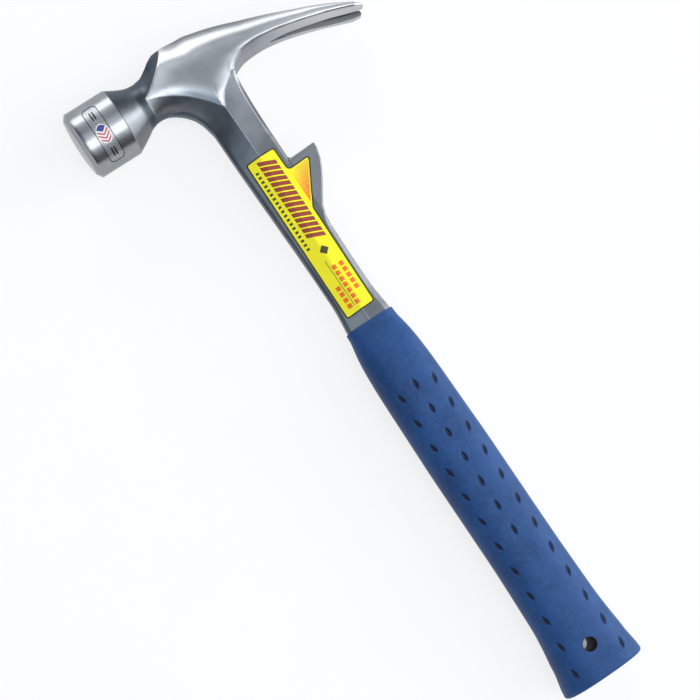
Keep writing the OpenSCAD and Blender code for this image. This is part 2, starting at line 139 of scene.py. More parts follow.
def bezier(corners, steps):
    """Points of a cubic curve up to but not at its end."""
    u = np.linspace(0, 1, steps, endpoint=False)[:, None]
    a, b, c, d = corners
    return a * (1 - u) ** 3 + 3 * b * u * (1 - u) ** 2 + 3 * c * u * u * (1 - u) + d * u ** 3


# Meshes


def new_object(name, mesh):
    obj = bpy.data.objects.new(name, mesh)
    bpy.context.scene.collection.objects.link(obj)
    return obj


def object_from(work, name):
    """Object with the mesh that was worked on."""
    mesh = bpy.data.meshes.new(name)
    work.to_mesh(mesh)
    work.free()
    return new_object(name, mesh)


def lay(work, places, marks):
    """Puts each point in its place and gives it its marks."""
    layers = [work.verts.layers.float.new(name) for name in marks]
    for vert, co, *values in zip(work.verts, to_frame(places), *marks.values()):
        vert.co = co
        for layer, value in zip(layers, values):
            vert[layer] = value


def turn_outwards(mesh, weld=False):
    """Points all faces outwards, once points in the same place are made one if that is asked."""
    work = bmesh.new()
    work.from_mesh(mesh)
    if weld:
        bmesh.ops.remove_doubles(work, verts=work.verts, dist=1e-7)
    bmesh.ops.recalc_face_normals(work, faces=work.faces)
    work.to_mesh(mesh)
    work.free()


def solid(name, points, faces):
    """Object from points in local millimetres, with its faces turned outwards."""
    mesh = bpy.data.meshes.new(name)
    mesh.from_pydata(to_frame(points).tolist(), [], faces)
    turn_outwards(mesh)
    return new_object(name, mesh)


def loft(name, rings, capped=True):
    """Closed skin over rings of equally many points, in local millimetres."""
    rings = np.array(rings)
    count, n = rings.shape[:2]
    at = np.arange(count * n).reshape(count, n)
    turned = np.roll(at, -1, axis=1)
    quads = np.stack([at[:-1], turned[:-1], turned[1:], at[1:]], axis=-1).reshape(-1, 4)
    faces = quads.tolist()
    if capped:
        faces += [at[0][::-1].tolist(), at[-1].tolist()]
    return solid(name, rings.reshape(-1, 3), faces)


def modify(obj, kind, **settings):
    """Adds a modifier with its settings and turns it into the mesh."""
    step = obj.modifiers.new(kind, kind)
    for key, value in settings.items():
        setattr(step, key, value)
    graph = bpy.context.evaluated_depsgraph_get()
    mesh = bpy.data.meshes.new_from_object(obj.evaluated_get(graph))
    obj.modifiers.clear()
    obj.data = mesh
    return obj


def join(name, parts):
    """One object from several, which are removed."""
    work = bmesh.new()
    for part in parts:
        work.from_mesh(part.data)
        bpy.data.objects.remove(part)
    return object_from(work, name)


def cut(obj, tool):
    """Takes the tool's solid out of the object."""
    modify(obj, "BOOLEAN", operation="DIFFERENCE", solver="EXACT", object=tool)
    bpy.data.objects.remove(tool)


def both_sides(half):
    """A half section from the middle of the top to the middle of the bottom, and its mirror image."""
    half = np.asarray(half)
    return np.concatenate([half, half[-2:0:-1] * (-1, 1)])


# Forging: head

# Top edge of the head and the claw
TOP = [(-34.5, 13.4), (-30.7, 13.7), (-25.7, 16.3), (-21, 19.5), (-16.8, 21.2), (-13, 21.4), (-11, 21.4),
       (0, 21), (6.4, 19.6), (17.8, 16.4), (32, 11), (45.1, 5.8), (57, 0.6), (68.6, -4.6), (79, -10),
       (88.1, -15.4), (91.5, -17.3)]
# Crease of the cheek's kite towards the bell's upper side, ending at the peak
UPPER_CREASE = [(-34.5, 0.6), (-28.8, 4.2), (-23.5, 8.3), (-18.4, 13.2), (-15.5, 17), (-13, 20.9)]
PEAK_X = -13
# Height and share of width of the roll from the cheek to the top
ROLL = [(-34.5, 6), (-25, 10), (-13, 12), (-8, 13.5), (-3, 14.5), (3, 13.5), (18, 12), (35, 10), (50, 7.5),
        (65, 4.5), (80, 2.5), (91.5, 0.9)]
# The roll's curve: shares of its height, inwards and down from the corner that it rounds
ROLL_CURVE = [(0, 1), (0, 0.6), (0.38, 0.11), (0.65, 0)]
# Lower edge of the cheek: from the waist to the kite's foot, and from there along the claw
FOOT_X = -1.2
FOOT_Y = -25.2
KEEL_BELL = [(-34.5, 0.4), (-28.7, -1.5), (-23.1, -4.3), (-17.6, -7.7), (-12.7, -11.6), (-8.2, -16.2),
             (-4.6, -20.6), (FOOT_X, FOOT_Y)]
KEEL_CLAW = [(FOOT_X, FOOT_Y), (0.6, -21.8), (3.3, -18.4), (6.6, -15.3), (12, -11), (14.6, -8.1),
             (18, -5.8), (23.1, -3.8), (30, -3.2), (41.9, -4.4), (53.2, -6.7), (64.1, -9.5),
             (74.9, -12.6), (84.4, -15.9), (91.5, -18.4)]
# Where the claw's underside starts, beside the neck
CROTCH_X = 12
UNDERSIDE = [(12, -11.8), (14.2, -11.6), (16, -9.7), (18.2, -8.4), (21, -7.3), (24, -6.5), (28.4, -6),
             (35, -5.8), (47, -7.1), (58.5, -9.7), (69.5, -12.9), (80.8, -16.5), (88.8, -18.8),
             (91.5, -19.3)]
# How far the bevel beside the underside goes in
UNDER_BEVEL = [(12, 1.6), (16, 3), (24, 5), (60, 5.5), (80, 4), (91.5, 1.5)]
# Half thickness, half width of the top, and bow of the side above the upper crease, a share of its width
HALF_T = [(-34.5, 12.2), (-30, 12.8), (-25, 13.3), (-20, 13.5), (0, 13.5), (91.5, 15.5)]
TOP_WIDTH = [(-34.5, 2.5), (-31, 3.6), (-27, 4.4), (-21, 5), (-13, 5.2)]
HOLLOW = [(-34.5, -0.177), (-31, -0.07), (-28, 0.01), (-24, 0.07), (-16, 0.07), (-13, 0.03)]
# How far the section has turned from round to faceted
FACETED = [(-35.4, 0), (-34, 0.8), (-33, 1)]
# From the bell to the waist: shares of the way inwards and of the middle's rise
CONE = [(0, 0), (0.31, 0.38), (0.58, 0.7), (0.81, 0.92), (1, 1)]
CONE_RISE = [(0, 0), (0.31, 0), (0.58, 0.23), (0.81, 0.73), (1, 1)]
# Rise of the top's middle, and the bows of the underside's bevel and the cheek, as shares of their width
TOP_CROWN, UNDER_BOW, CHEEK_CROWN = 0.2, 0.05, 0.008
# The roll takes up no more than this share of the cheek's height
ROLL_LIMIT = 0.72
# How far the head's lower edge is cut in before the claw's underside starts
KEEL_CUT = 1.5
# Number of rings in the waist, up to the peak, up to the crotch and in the claw
HEAD_RINGS = 36, 44, 60, 110
# How far the cheek falls back along its lower edge, and over which share of its height
FALL = [(-34.5, 0), (-30, 0.5), (-22, 1.4), (-10, 2), (0, 1.9), (8, 1.4), (12, 0.9), (20, 0.5), (91.5, 0.1)]
FALL_SHARE = 0.4

TOP_STEPS, ROLL_STEPS, SIDE_STEPS, UNDER_STEPS, BOTTOM_STEPS = 8, 20, 26, 8, 8
HALF_STEPS = TOP_STEPS + ROLL_STEPS + SIDE_STEPS + UNDER_STEPS + BOTTOM_STEPS
# Steps of a cheek's profile that is cut by the upper crease afterwards
FINE_STEPS = 60


def keel_y(x):
    return level(KEEL_BELL if x < FOOT_X else KEEL_CLAW, x)


def half_thickness(x):
    corner = min(max(x - CLAW_REACH + TIP_CUT, 0), TIP_CUT) / TIP_CUT
    return level(HALF_T, x) - TIP_CUT_W * corner


def along_profile(points, steps):
    """Points at even distances along a profile, up to but not at its end."""
    way = np.concatenate([[0], np.cumsum(np.linalg.norm(np.diff(points, axis=0), axis=1))])
    at = np.linspace(0, way[-1], steps, endpoint=False)
    return np.column_stack([np.interp(at, way, points[:, k]) for k in (0, 1)])


def cheek(x, z, low, roll_steps, side_steps):
    """Profile of the roll and the cheek from the top to the lower crease, in two lists."""
    top_y = level(TOP, max(x, PEAK_X))
    height = min(level(ROLL, x), (top_y - low) * ROLL_LIMIT)
    corners = [np.array((z - inward * height, top_y - down * height)) for inward, down in ROLL_CURVE[::-1]]
    roll = bezier(corners, roll_steps)
    side = line(corners[-1], (z, low), side_steps, CHEEK_CROWN)
    along = np.linspace(0, 1, side_steps, endpoint=False)
    side[:, 0] -= level(FALL, x) * np.clip((along - 1 + FALL_SHARE) / FALL_SHARE, 0, 1) ** 2
    return roll, side


def faceted_half(x):
    """Half section of the head at x, as (z, y) from the top to the bottom."""
    z = half_thickness(x)
    top_y, low = level(TOP, x), keel_y(x)
    keel = (z - level(FALL, x), low)
    if x < PEAK_X:
        whole = np.concatenate([*cheek(x, z, low, FINE_STEPS, FINE_STEPS), [keel]])
        crease_y = level(UPPER_CREASE, x)
        crease = (float(np.interp(-crease_y, -whole[:, 1], whole[:, 0])), crease_y)
        upper = (level(TOP_WIDTH, x), top_y)
        roll = line(upper, crease, ROLL_STEPS, -level(HOLLOW, x))
        side = along_profile(np.concatenate([[crease], whole[whole[:, 1] < crease_y]]), SIDE_STEPS)
    else:
        roll, side = cheek(x, z, low, ROLL_STEPS, SIDE_STEPS)
        upper = roll[0]
    if x < CROTCH_X:
        under, bottom = (z - KEEL_CUT, low), (0, low)
    else:
        under_y = level(UNDERSIDE, x)
        under, bottom = (z - level(UNDER_BEVEL, x), under_y), (0, under_y)
    return np.concatenate([
        line((0, top_y + TOP_CROWN), upper, TOP_STEPS), roll, side,
        line(keel, under, UNDER_STEPS, UNDER_BOW), line(under, bottom, BOTTOM_STEPS), [bottom]])


def round_half(x):
    """Half section of the round waist and the cone behind the bell, as (z, y)."""
    done = min(max((x - BELL_BACK) / (WAIST_X - BELL_BACK), 0), 1)
    r = mix(BELL_R - CONE_STEP, WAIST_R, level(CONE, done))
    rise = WAIST_RISE * level(CONE_RISE, done)
    turn = np.linspace(0, math.pi, HALF_STEPS + 1)
    return np.stack([r * np.sin(turn), rise + r * np.cos(turn)], axis=1)


def head_ring(x):
    """Section of the head at x, which turns from round to faceted behind the waist."""
    turned = float(grade(FACETED, x))
    half = round_half(x)
    if x > WAIST_X:
        faceted = faceted_half(x)
        half = mix(half, faceted, turned)
        low = keel_y(x)
        inside = np.arange(len(half)) > TOP_STEPS + ROLL_STEPS + SIDE_STEPS
        if x < CROTCH_X:
            half[inside] = faceted[inside]
            half[:, 1] = np.maximum(half[:, 1], low)
    z, y = both_sides(half).T
    return np.column_stack([np.full(len(z), x), y, z])


def head():
    """Waist, cheeks and claw, up to the tips."""
    stretches = [(BELL_BACK - 2, WAIST_X), (WAIST_X + 0.1, PEAK_X - 0.01), (PEAK_X, CROTCH_X - 0.01),
                 (CROTCH_X, CLAW_REACH - TIP_CUT)]
    places = [np.linspace(*ends, count) for ends, count in zip(stretches, HEAD_RINGS)]
    return loft("head", [head_ring(float(x)) for x in np.concatenate([*places, [CLAW_REACH]])])


# Nail slot: its root, how far the cut runs past the tips, its narrowest half and its heights
SLOT_ROOT = CLAW_REACH - SLOT_LEN
SLOT_PAST = CLAW_REACH + 2
SLOT_LEAST = 0.5
SLOT_HEIGHTS = (25, -40)
# Groove round the slot on the underside: x, height of the underside there, depth and half width
GROOVE = [(40.5, -6.1, 0.4, 0.9), (46, -7, 1.8, 2.6), (68, -12.6, 2.4, 4.5), (93.5, -19.9, 1.0, 5.4)]
# How far the groove's cut runs on below the underside
GROOVE_PAST = 12


def add_places(obj):
    """Two material places, the second of which marks what a cut leaves."""
    for place in range(2):
        obj.data.materials.append(None)


def hull(name, corners):
    """Solid round the corners, whose faces carry the second material place."""
    work = bmesh.new()
    for corner in to_frame(corners):
        work.verts.new(corner)
    bmesh.ops.convex_hull(work, input=work.verts)
    obj = object_from(work, name)
    add_places(obj)
    for face in obj.data.polygons:
        face.material_index = 1
    return obj


def slot_half(x):
    return max(SLOT_LEAST, SLOT_W / 2 * (x - SLOT_ROOT) / SLOT_LEN)


def nail_slot():
    """V-shaped slot between the tines."""
    corners = [(x, y, side * slot_half(x))
               for x in (SLOT_ROOT, SLOT_PAST) for y in SLOT_HEIGHTS for side in (-1, 1)]
    return hull("nail_slot", corners)


def slot_groove():
    """Bevels on the underside beside the slot."""
    corners = []
    for x, y, depth, half in GROOVE:
        inner = slot_half(x)
        spread = (half - inner) / depth
        for rise, wide in ((depth, inner), (-GROOVE_PAST, half + GROOVE_PAST * spread)):
            corners += [(x, y + rise, -wide), (x, y + rise, wide)]
    return hull("slot_groove", corners)


# Forging: crook and neck

# Half width of the neck, and place and height of its ridge, along y
NECK_HALF = [(-167, 13.1), (-161, 13.1), (-155, 12.5), (-145, 11.75), (-130, 11.7), (-112, 11.9),
             (-85, 12.45), (-58, 12.95), (-39, 13.1), (-20, 13.1)]
RIDGE_X = [(-167, 0), (-50, 0), (-37, -0.6), (FOOT_Y, FOOT_X)]
RIDGE_Z = [(-167, 6.3), (-62, 6.3), (-53, 6.7), (-44, 7.8), (-37, 9.3), (-31, 10.7), (-28, 11.25),
           (FOOT_Y, 11.57)]
# Width of the bevels on the bell's side and, along y, on the claw's side
BELL_BEVEL = 1.7
CLAW_BEVEL = [(-167, 3.2), (-140, 2.7), (-118, 2.1), (-108, 1.9), (-99, 0.3), (-72, 0.3), (-65, 1.9),
              (-50, 1.9)]
# How far the bell side's bevel rises above its edge, and how far the pieces reach into each other
SHOULDER_RISE, OVERLAP = 0.85, 1.5

# The cheek's lower crease is paired with the crook's edge: x on the crease, then x and y of the edge
CROOK = [(-34.5, -34.5, -10.9), (-30.5, -32.2, -10.8), (-26.3, -29.2, -11.1), (-22.3, -25.8, -12.3),
         (-18.3, -22.4, -14.5), (-14.3, -19.4, -17.3), (-10.3, -17.1, -20.3), (-6.8, -15.5, -23.6),
         (-3.8, -14.5, -26.8), (FOOT_X, -13.8, -30.2)]
# Below the kite's foot: y on the ridge and y of the edge
BELL_SIDE = [(-31, -34.6), (-40, -41.8), (-50, -50.5), (-62, -62), (-85, -85), (-112, -112),
             (-130, -130), (-145, -145), (-155, -155), (-161, -161), (-167, -167)]
# At numbered stations along both: half thickness of the edge, hollow, roundness and start of the round
CROOK_EDGE = [(0, 0.1), (1, 0.7), (2, 1.5), (3, 2.3), (4, 2.8), (6, 3.2), (20, 3.2)]
CROOK_HOLLOW = [(0, 0), (3, -0.2), (6, -0.3), (9, 0), (12, 0), (20, 0)]
CROOK_ROUND = [(0, 1), (1.2, 0.85), (3, 0.35), (5, 0), (20, 0)]
CROOK_START = [(0, 0.3), (0.8, 0.5), (2, 0.65), (20, 0.7)]
ACROSS = 30
# Stations where the rings come close together, the number of rings up to there, and the number in all
CROOK_LAST, CROOK_RINGS, BELL_SIDE_RINGS = 13, 150, 209


def bell_side_rings():
    """Bell side of the neck and the crook: rings from the cheek's lower crease to the edge and back."""
    stations = [(x, level(KEEL_BELL, x), ex, ey, half_thickness(x) - level(FALL, x))
                for x, ex, ey in CROOK]
    stations += [(level(RIDGE_X, y), y, -level(NECK_HALF, ey), ey,
                  level(RIDGE_Z, y)) for y, ey in BELL_SIDE]
    along = np.arange(len(stations), dtype=float)
    tracks = [list(zip(along, track)) for track in zip(*stations)]
    rings = []
    further = np.linspace(CROOK_LAST, along[-1], BELL_SIDE_RINGS - CROOK_RINGS + 1)
    for s in np.concatenate([np.linspace(0, CROOK_LAST, CROOK_RINGS), further[1:]]):
        ix, iy, ex, ey, iz = (level(track, s) for track in tracks)
        if s < len(CROOK) - 1:
            iy = level(KEEL_BELL, ix)
        edge = level(CROOK_EDGE, s)
        bulge = level(CROOK_ROUND, s)
        inner, outer = np.array([ix, iy]), np.array([ex, ey])
        reach = np.linalg.norm(outer - inner)
        bevel = BELL_BEVEL * (1 - bulge)
        shoulder = edge + SHOULDER_RISE * (1 - bulge)
        u = np.linspace(0, 1, ACROSS)
        flat_d = (reach - bevel) * u
        flat_z = mix(iz, shoulder, u) - level(CROOK_HOLLOW, s) * 4 * u * (1 - u)
        start = level(CROOK_START, s)
        turn = mix(start, math.pi / 2, u)
        d = mix(flat_d, reach * (np.sin(turn) - math.sin(start)) / (1 - math.sin(start)), bulge)
        z = mix(flat_z, mix(edge, iz, np.cos(turn) / math.cos(start)), bulge)
        d = np.concatenate([[-OVERLAP], d, [reach]])
        z = np.concatenate([[iz - OVERLAP], z, [edge]])
        way = (outer - inner) / reach
        xy = inner + way * d[:, None]
        rings.append(np.concatenate([np.column_stack([xy, z]), np.column_stack([xy, -z])[::-1]]))
    return rings


# Claw side of the neck, at heights y: the cheek's crease, the strip beside the edge, and the edge
CREASE_X = [(FOOT_Y, FOOT_X), (-21.8, 0.6), (-18.4, 3.3), (-15.3, 6.6), (-11.2, 11.8)]
STRIP_X = [(-50, 11.05), (-44, 11.1), (-34, 11.15), (-24.4, 11.2), (-17.7, 11.5), (-14, 11.8),
           (-11.2, 12.2)]
STRIP_Z = [(-167, 4.5), (-108, 4.5), (-99, 3.95), (-72, 3.95), (-65, 4.55), (-60, 4.6), (-50, 4.9),
           (-44, 5.6), (-34, 7.4), (-24.4, 9.8), (-17.7, 11.3), (-14, 12), (-11.2, 12.6)]
CLAW_EDGE_X = [(-50, 12.95), (-39.4, 13.05), (-30.6, 13.1), (-22.8, 13.2), (-15.2, 13.6),
               (-11.2, 14.3)]
CLAW_EDGE_Z = [(-167, 3.2), (-50, 3.2), (-39.4, 3.6), (-30.6, 5), (-22.8, 7.6), (-15.2, 10.7),
               (-11.2, 12.2)]
# Where the rings come closer together, where they end, and the number in both stretches
CLAW_SIDE_MID, CLAW_SIDE_TOP, CLAW_SIDE_RINGS = -70, -11.2, (60, 100)


def claw_side_rings():
    """Claw side of the neck, from inside the grip up to the crotch."""
    rings = []
    lower = np.linspace(-NECK_LEN - NECK_SEAT, CLAW_SIDE_MID, CLAW_SIDE_RINGS[0])
    upper = np.linspace(CLAW_SIDE_MID, CLAW_SIDE_TOP, CLAW_SIDE_RINGS[1])
    for y in np.concatenate([lower, upper[1:]]):
        if y < FOOT_Y:
            ix, iz = level(RIDGE_X, y), level(RIDGE_Z, y)
        else:
            ix = level(CREASE_X, y)
            iz = half_thickness(ix) - level(FALL, ix)
        if y < STRIP_X[0][0]:
            ex = level(NECK_HALF, y)
            sx = ex - level(CLAW_BEVEL, y)
        else:
            ex, sx = level(CLAW_EDGE_X, y), level(STRIP_X, y)
        sz, ez = level(STRIP_Z, y), level(CLAW_EDGE_Z, y)
        u = np.linspace(0, 1, ACROSS)
        x = np.concatenate([[ix - OVERLAP], mix(ix, sx, u), mix(sx, ex, u[1:])])
        z = np.concatenate([[iz - OVERLAP], mix(iz, sz, u), mix(sz, ez, u[1:])])
        near, far = (np.column_stack([x, np.full(len(x), y), height]) for height in (z, -z))
        rings.append(np.concatenate([near, far[::-1]]))
    return rings


# Tooth beside the neck
TOOTH = [(-2, -66.2), (10.9, -66.2), (12, -66.1), (14, -66), (29.1, -65.3), (28.8, -69.4), (27.2, -75),
         (24.5, -80.4), (21.2, -85.9), (17.6, -91.4), (14.2, -96.8), (12.6, -102), (12, -107),
         (11.2, -110), (-2, -110)]
# Width of the plates' bevels, and the angle in degrees above which an edge has one
PLATE_BEVEL, PLATE_EDGE = 0.55, 50
# Fillet between the neck's edge and the tooth
NOTCH = [(-2, -58), (12.6, -58), (12.5, -62), (12.8, -64.2), (13.7, -65.5), (15.5, -66), (19, -66),
         (19, -70), (-2, -70)]


def plate(name, outline, thickness):
    """Flat plate with bevelled edges in the middle of the thickness."""
    n = len(outline)
    points = [(x, y, z) for z in (-thickness / 2, thickness / 2) for x, y in outline]
    faces = [list(range(n))[::-1], list(range(n, 2 * n))]
    faces += [[k, (k + 1) % n, (k + 1) % n + n, k + n] for k in range(n)]
    return modify(solid(name, points, faces), "BEVEL", width=PLATE_BEVEL * MM, limit_method="ANGLE",
                  angle_limit=math.radians(PLATE_EDGE))


# Corners of the bell's profile, as steps along x and in radius from where the plain faces would meet
REAR_CORNER = [(1.2, -3), (0, -0.35), (-0.35, 0)]
SIDE_CORNER = [(0.25, 0), (0, -0.08), (-0.2, -0.3)]
FACE_CORNER = [(0.35, 0.4), (0.1, 0.05)]
SIDE_RINGS, FACE_RINGS, BELL_SIDES = 12, 10, 128


def bell():
    """Bell turned about its own axis: rear edge, side, bevelled and crowned face."""
    side_x = BELL_BACK - BELL_LEN
    face_x, face_r = FACE_CROWN - POLL_REACH, BELL_R - FACE_BEVEL_W
    profile = [(BELL_BACK + REAR_CORNER[0][0], 0.0)]
    profile += [(BELL_BACK + x, BELL_R + r) for x, r in REAR_CORNER]
    profile += [(mix(profile[-1][0], side_x, k / SIDE_RINGS), BELL_R) for k in range(1, SIDE_RINGS)]
    profile += [(side_x + x, BELL_R + r) for x, r in SIDE_CORNER]
    profile += [(face_x + x, face_r + r) for x, r in FACE_CORNER]
    profile += [(FACE_CROWN * u * u - POLL_REACH, face_r * u) for u in np.linspace(1, 0, FACE_RINGS + 1)]
    turn = np.arange(BELL_SIDES) * 2 * math.pi / BELL_SIDES
    rings = [np.column_stack([np.full(BELL_SIDES, x), r * np.cos(turn), r * np.sin(turn)])
             for x, r in profile]
    obj = loft("bell", rings, capped=False)
    turn_outwards(obj.data, weld=True)
    return obj


def crisp(obj, degrees):
    """Smooth shading that keeps edges sharper than the angle."""
    for face in obj.data.polygons:
        face.use_smooth = True
    obj.data.set_sharp_from_angle(angle=math.radians(degrees))
    return obj


# The skin over the forging's parts, in millimetres, how it is eased, and its sharpest smooth edge
VOXEL = 0.42
EASE_SHARE, EASE_TIMES = 0.5, 4
STEEL_CREASE = 38
# Painted highlights reach this far from the cheek's upper crease, the band below its top and its lower
# creases
CREASE_HIGHLIGHT, TOP_HIGHLIGHT, KEEL_HIGHLIGHT = 7.5, 5.5, 4.8
TOP_EDGE = [key for key in TOP if key[0] > PEAK_X - 1]
# Along x: how far below the top the painted highlight's band lies, how strong it is, and how strong the
# keel's painted highlight is
TOP_HIGHLIGHT_MID = [(0, 10), (50, 4)]
TOP_FADE = [(-13, 1), (0, 1), (12, 0.6), (30, 0.45), (55, 0.8), (91.5, 0.8)]
KEEL_FADE = [(-4, 1), (1, 0.45)]
# How strong the painted highlight is along the kite's lower crease, and on the claw's underside along x
KITE_HIGHLIGHT = 0.45
UNDER_HIGHLIGHT = [(30, 0), (50, 0.45), (72, 0.7)]
# Painted shade: the head's topmost edge and its fade along x, the neck's claw side along y, and steep walls
CROWN_REACH = 4.2
CROWN_FADE = [(-13, 0), (-10, 1), (35, 1), (60, 0.15)]
SHANK_FADE = [(-60, 0.75), (-48, 0.8), (-38, 1.25), (-30, 1.15), (-22, 0.75)]
WALL_FADE = [(0.45, 1), (0.75, 0)]


def mark(mesh, name, shares, domain="POINT"):
    layer = mesh.attributes.new(name, "FLOAT", domain)
    layer.data.foreach_set("value", np.asarray(shares, float))


def path_distance(points, path):
    """Distance of each point from an open path."""
    path = np.array(path, float)
    nearest = np.full(len(points), np.inf)
    for a, b in zip(path[:-1], path[1:]):
        way = b - a
        u = np.clip((points - a) @ way / (way @ way), 0, 1)
        nearest = np.minimum(nearest, np.linalg.norm(points - a - way * u[:, None], axis=1))
    return nearest


def close_to(points, path, reach, off=0.0):
    """Share that is 1 at a distance from a path and fades over the reach."""
    return np.exp(-((path_distance(points, path) - off) / reach) ** 2)


def mark_painted_shade(mesh, x, y, z, facing):
    """Marks painted shade on the crook's and the neck's walls, the neck's claw side and the head's topmost
    edge.
    """
    arch = (x > -36) & (x < -3) & (y < -6) & ((x < -9) | (y < -14)) & (np.abs(z) < 7) & (y > -70)
    neck = (x < -9) & (y <= -70)
    mark(mesh, "wall", grade(WALL_FADE, facing) * (arch | neck))
    kite = (x > FOOT_X) & (x < 13) & (y < smooth(KEEL_CLAW, x) - 0.15)
    claw_face = ((y < FOOT_Y) & (x > smooth(RIDGE_X, y))) | kite
    mark(mesh, "shank_shade", claw_face * grade(SHANK_FADE, y))
    mark(mesh, "crown", close_to(np.column_stack([x, y]), TOP_EDGE, CROWN_REACH) * grade(CROWN_FADE, x))


def mark_highlights(mesh, x, y, z):
    """Marks painted highlights on the claw's underside, stronger towards the tips, and along the borders of
    the cheek.
    """
    beneath = np.clip((smooth(KEEL_CLAW, x) - 0.25 - y) / 0.4, 0, 1) * np.clip((x - 13) / 4, 0, 1)
    mark(mesh, "underside", beneath * (y > -21) * grade(UNDER_HIGHLIGHT, x))
    flat = np.column_stack([x, y])
    crease = close_to(flat, UPPER_CREASE, CREASE_HIGHLIGHT)
    top = close_to(flat, TOP_EDGE, TOP_HIGHLIGHT, grade(TOP_HIGHLIGHT_MID, x)) * grade(TOP_FADE, x)
    keel = close_to(flat, KEEL_BELL, KEEL_HIGHLIGHT) * grade(KEEL_FADE, x)
    kite = close_to(flat, KEEL_CLAW[:6], KEEL_HIGHLIGHT) * KITE_HIGHLIGHT
    below_crease = (y < smooth(UPPER_CREASE, x) + 0.3) | (x > PEAK_X)
    over_keel = np.where(x < FOOT_X, smooth(KEEL_BELL, x), smooth(KEEL_CLAW, x)) < y + 0.2
    on_cheek = below_crease & (x > WAIST_X + 0.5) & over_keel & (np.abs(z) > 6)
    mark(mesh, "painted_highlight", np.maximum.reduce([crease, top, keel, kite]) * on_cheek)


def mark_finish(mesh):
    """Marks where shade and highlights are painted on the steel."""
    places, outward = np.empty(len(mesh.vertices) * 3), np.empty(len(mesh.vertices) * 3)
    mesh.vertices.foreach_get("co", places)
    mesh.vertices.foreach_get("normal", outward)
    x, y, z = (places.reshape(-1, 3) / MM + (MID_X, MID_Y, -BELL_R)).T
    mark_painted_shade(mesh, x, y, z, np.abs(outward.reshape(-1, 3)[:, 2]))
    mark_highlights(mesh, x, y, z)


def forging():
    parts = [head(), loft("bell_side", bell_side_rings()), loft("claw_side", claw_side_rings()),
             plate("tooth", TOOTH, TOOTH_T), plate("notch", NOTCH, EDGE_T)]
    steel = join("forging_body", parts)
    modify(steel, "REMESH", mode="VOXEL", voxel_size=VOXEL * MM)
    modify(steel, "SMOOTH", factor=EASE_SHARE, iterations=EASE_TIMES)
    add_places(steel)
    cut(steel, nail_slot())
    cut(steel, slot_groove())
    mark_finish(steel.data)
    # Faces that the slot's cuts leave are marked for painted shade
    recess_shade = [float(face.material_index > 0) for face in steel.data.polygons]
    steel = join("forged_steel", [steel, bell()])
    recess_shade += [0.0] * (len(steel.data.polygons) - len(recess_shade))
    mark(steel.data, "recess_shade", recess_shade, "FACE")
    for face in steel.data.polygons:
        face.material_index = 0
    return crisp(steel, STEEL_CREASE)


# Grip

# Along the grip: shares of the way from the rim to the middle's size, and from there to the butt's
SWELL = [(0, 0), (0.016, 0.03), (0.04, 0.235), (0.064, 0.435), (0.088, 0.576), (0.112, 0.67),
         (0.16, 0.79), (0.207, 0.85), (0.3, 0.93), (0.4, 1), (1, 1)]
FLARE = [(0, 0), (0.632, 0), (0.726, 0.06), (0.773, 0.11), (0.819, 0.165), (0.866, 0.32), (0.889, 0.43),
         (0.912, 0.55), (0.935, 0.64), (0.958, 0.81), (0.981, 0.96), (1, 1)]
# Squareness of the section at the rim and below it
SQUARE_RIM, SQUARE = 2.8, 2.3
# Rounding of the rim, then how far the skin goes in and down from a quarter of the way under it
RIM_ROUND, RIM_QUARTER, RIM_IN, RIM_DOWN = 0.6, 0.25, 2.2, 3
BUTT_ROUND, BUTT_DOME = 1.9, 0.6

# Dimples: size, pitch, rise of the lowest, number in a row, turn, place of the side rows as a share of
# the half width at the rim and at the butt, and how far the middle row is shifted
DIMPLE_LEN, DIMPLE_W, DIMPLE_DEPTH = 7.4, 2.9, 1.0
DIMPLE_PITCH, DIMPLE_RISE = 15.13, 10.7
SIDE_DIMPLES, MID_DIMPLES = 12, 7
DIMPLE_TURN, ROW_SHARES, MID_SHIFT = 17, (0.565, 0.66), 0.185


def grip_form(u):
    """Half width, half thickness, squareness and place of the middle at share u of the grip."""
    swell, flare = smooth(SWELL, u), smooth(FLARE, u)
    half_w = mix(mix(RIM_W, GRIP_W, swell), BUTT_W, flare) / 2
    half_t = mix(mix(RIM_T, GRIP_T, swell), BUTT_T, flare) / 2
    power = mix(SQUARE_RIM, SQUARE, np.minimum(1, 4 * np.asarray(u)))
    return half_w, half_t, power, -BUTT_LEAN * flare


def grip_point(v, turn):
    """Point of the skin. v runs from under the rim, over 0 to 1 along the grip, to the butt's middle."""
    u = np.clip(v, 0, 1)
    half_w, half_t, power, middle = grip_form(u)
    y = -NECK_LEN - GRIP_LEN * u
    rim = np.clip(-v, 0, 1)
    under = np.maximum(rim - RIM_QUARTER, 0)
    inset = np.where(v < 0, RIM_ROUND * np.minimum(rim / RIM_QUARTER, 1) ** 2 + RIM_IN * under, 0)
    y = np.where(v < 0, -NECK_LEN - RIM_DOWN * under, y)
    bend = np.clip((v - 1) * 2, 0, 1) * math.pi / 2
    dome = np.clip((v - 1.5) * 2, 0, 1)
    inset = np.where(v > 1, BUTT_ROUND * (1 - np.cos(bend)), inset)
    last = BUTT_END + BUTT_ROUND + BUTT_DOME
    y = np.maximum(y, last)
    y = np.where(v > 1, last - BUTT_ROUND * np.sin(bend) - BUTT_DOME * np.sin(dome * math.pi / 2), y)
    a = (half_w - inset) * (1 - dome)
    b = (half_t - inset) * (1 - dome)
    c, s = np.cos(turn), np.sin(turn)
    return np.stack([middle + a * np.sign(c) * np.abs(c) ** (2 / power), y,
                     b * np.sign(s) * np.abs(s) ** (2 / power)], axis=-1)


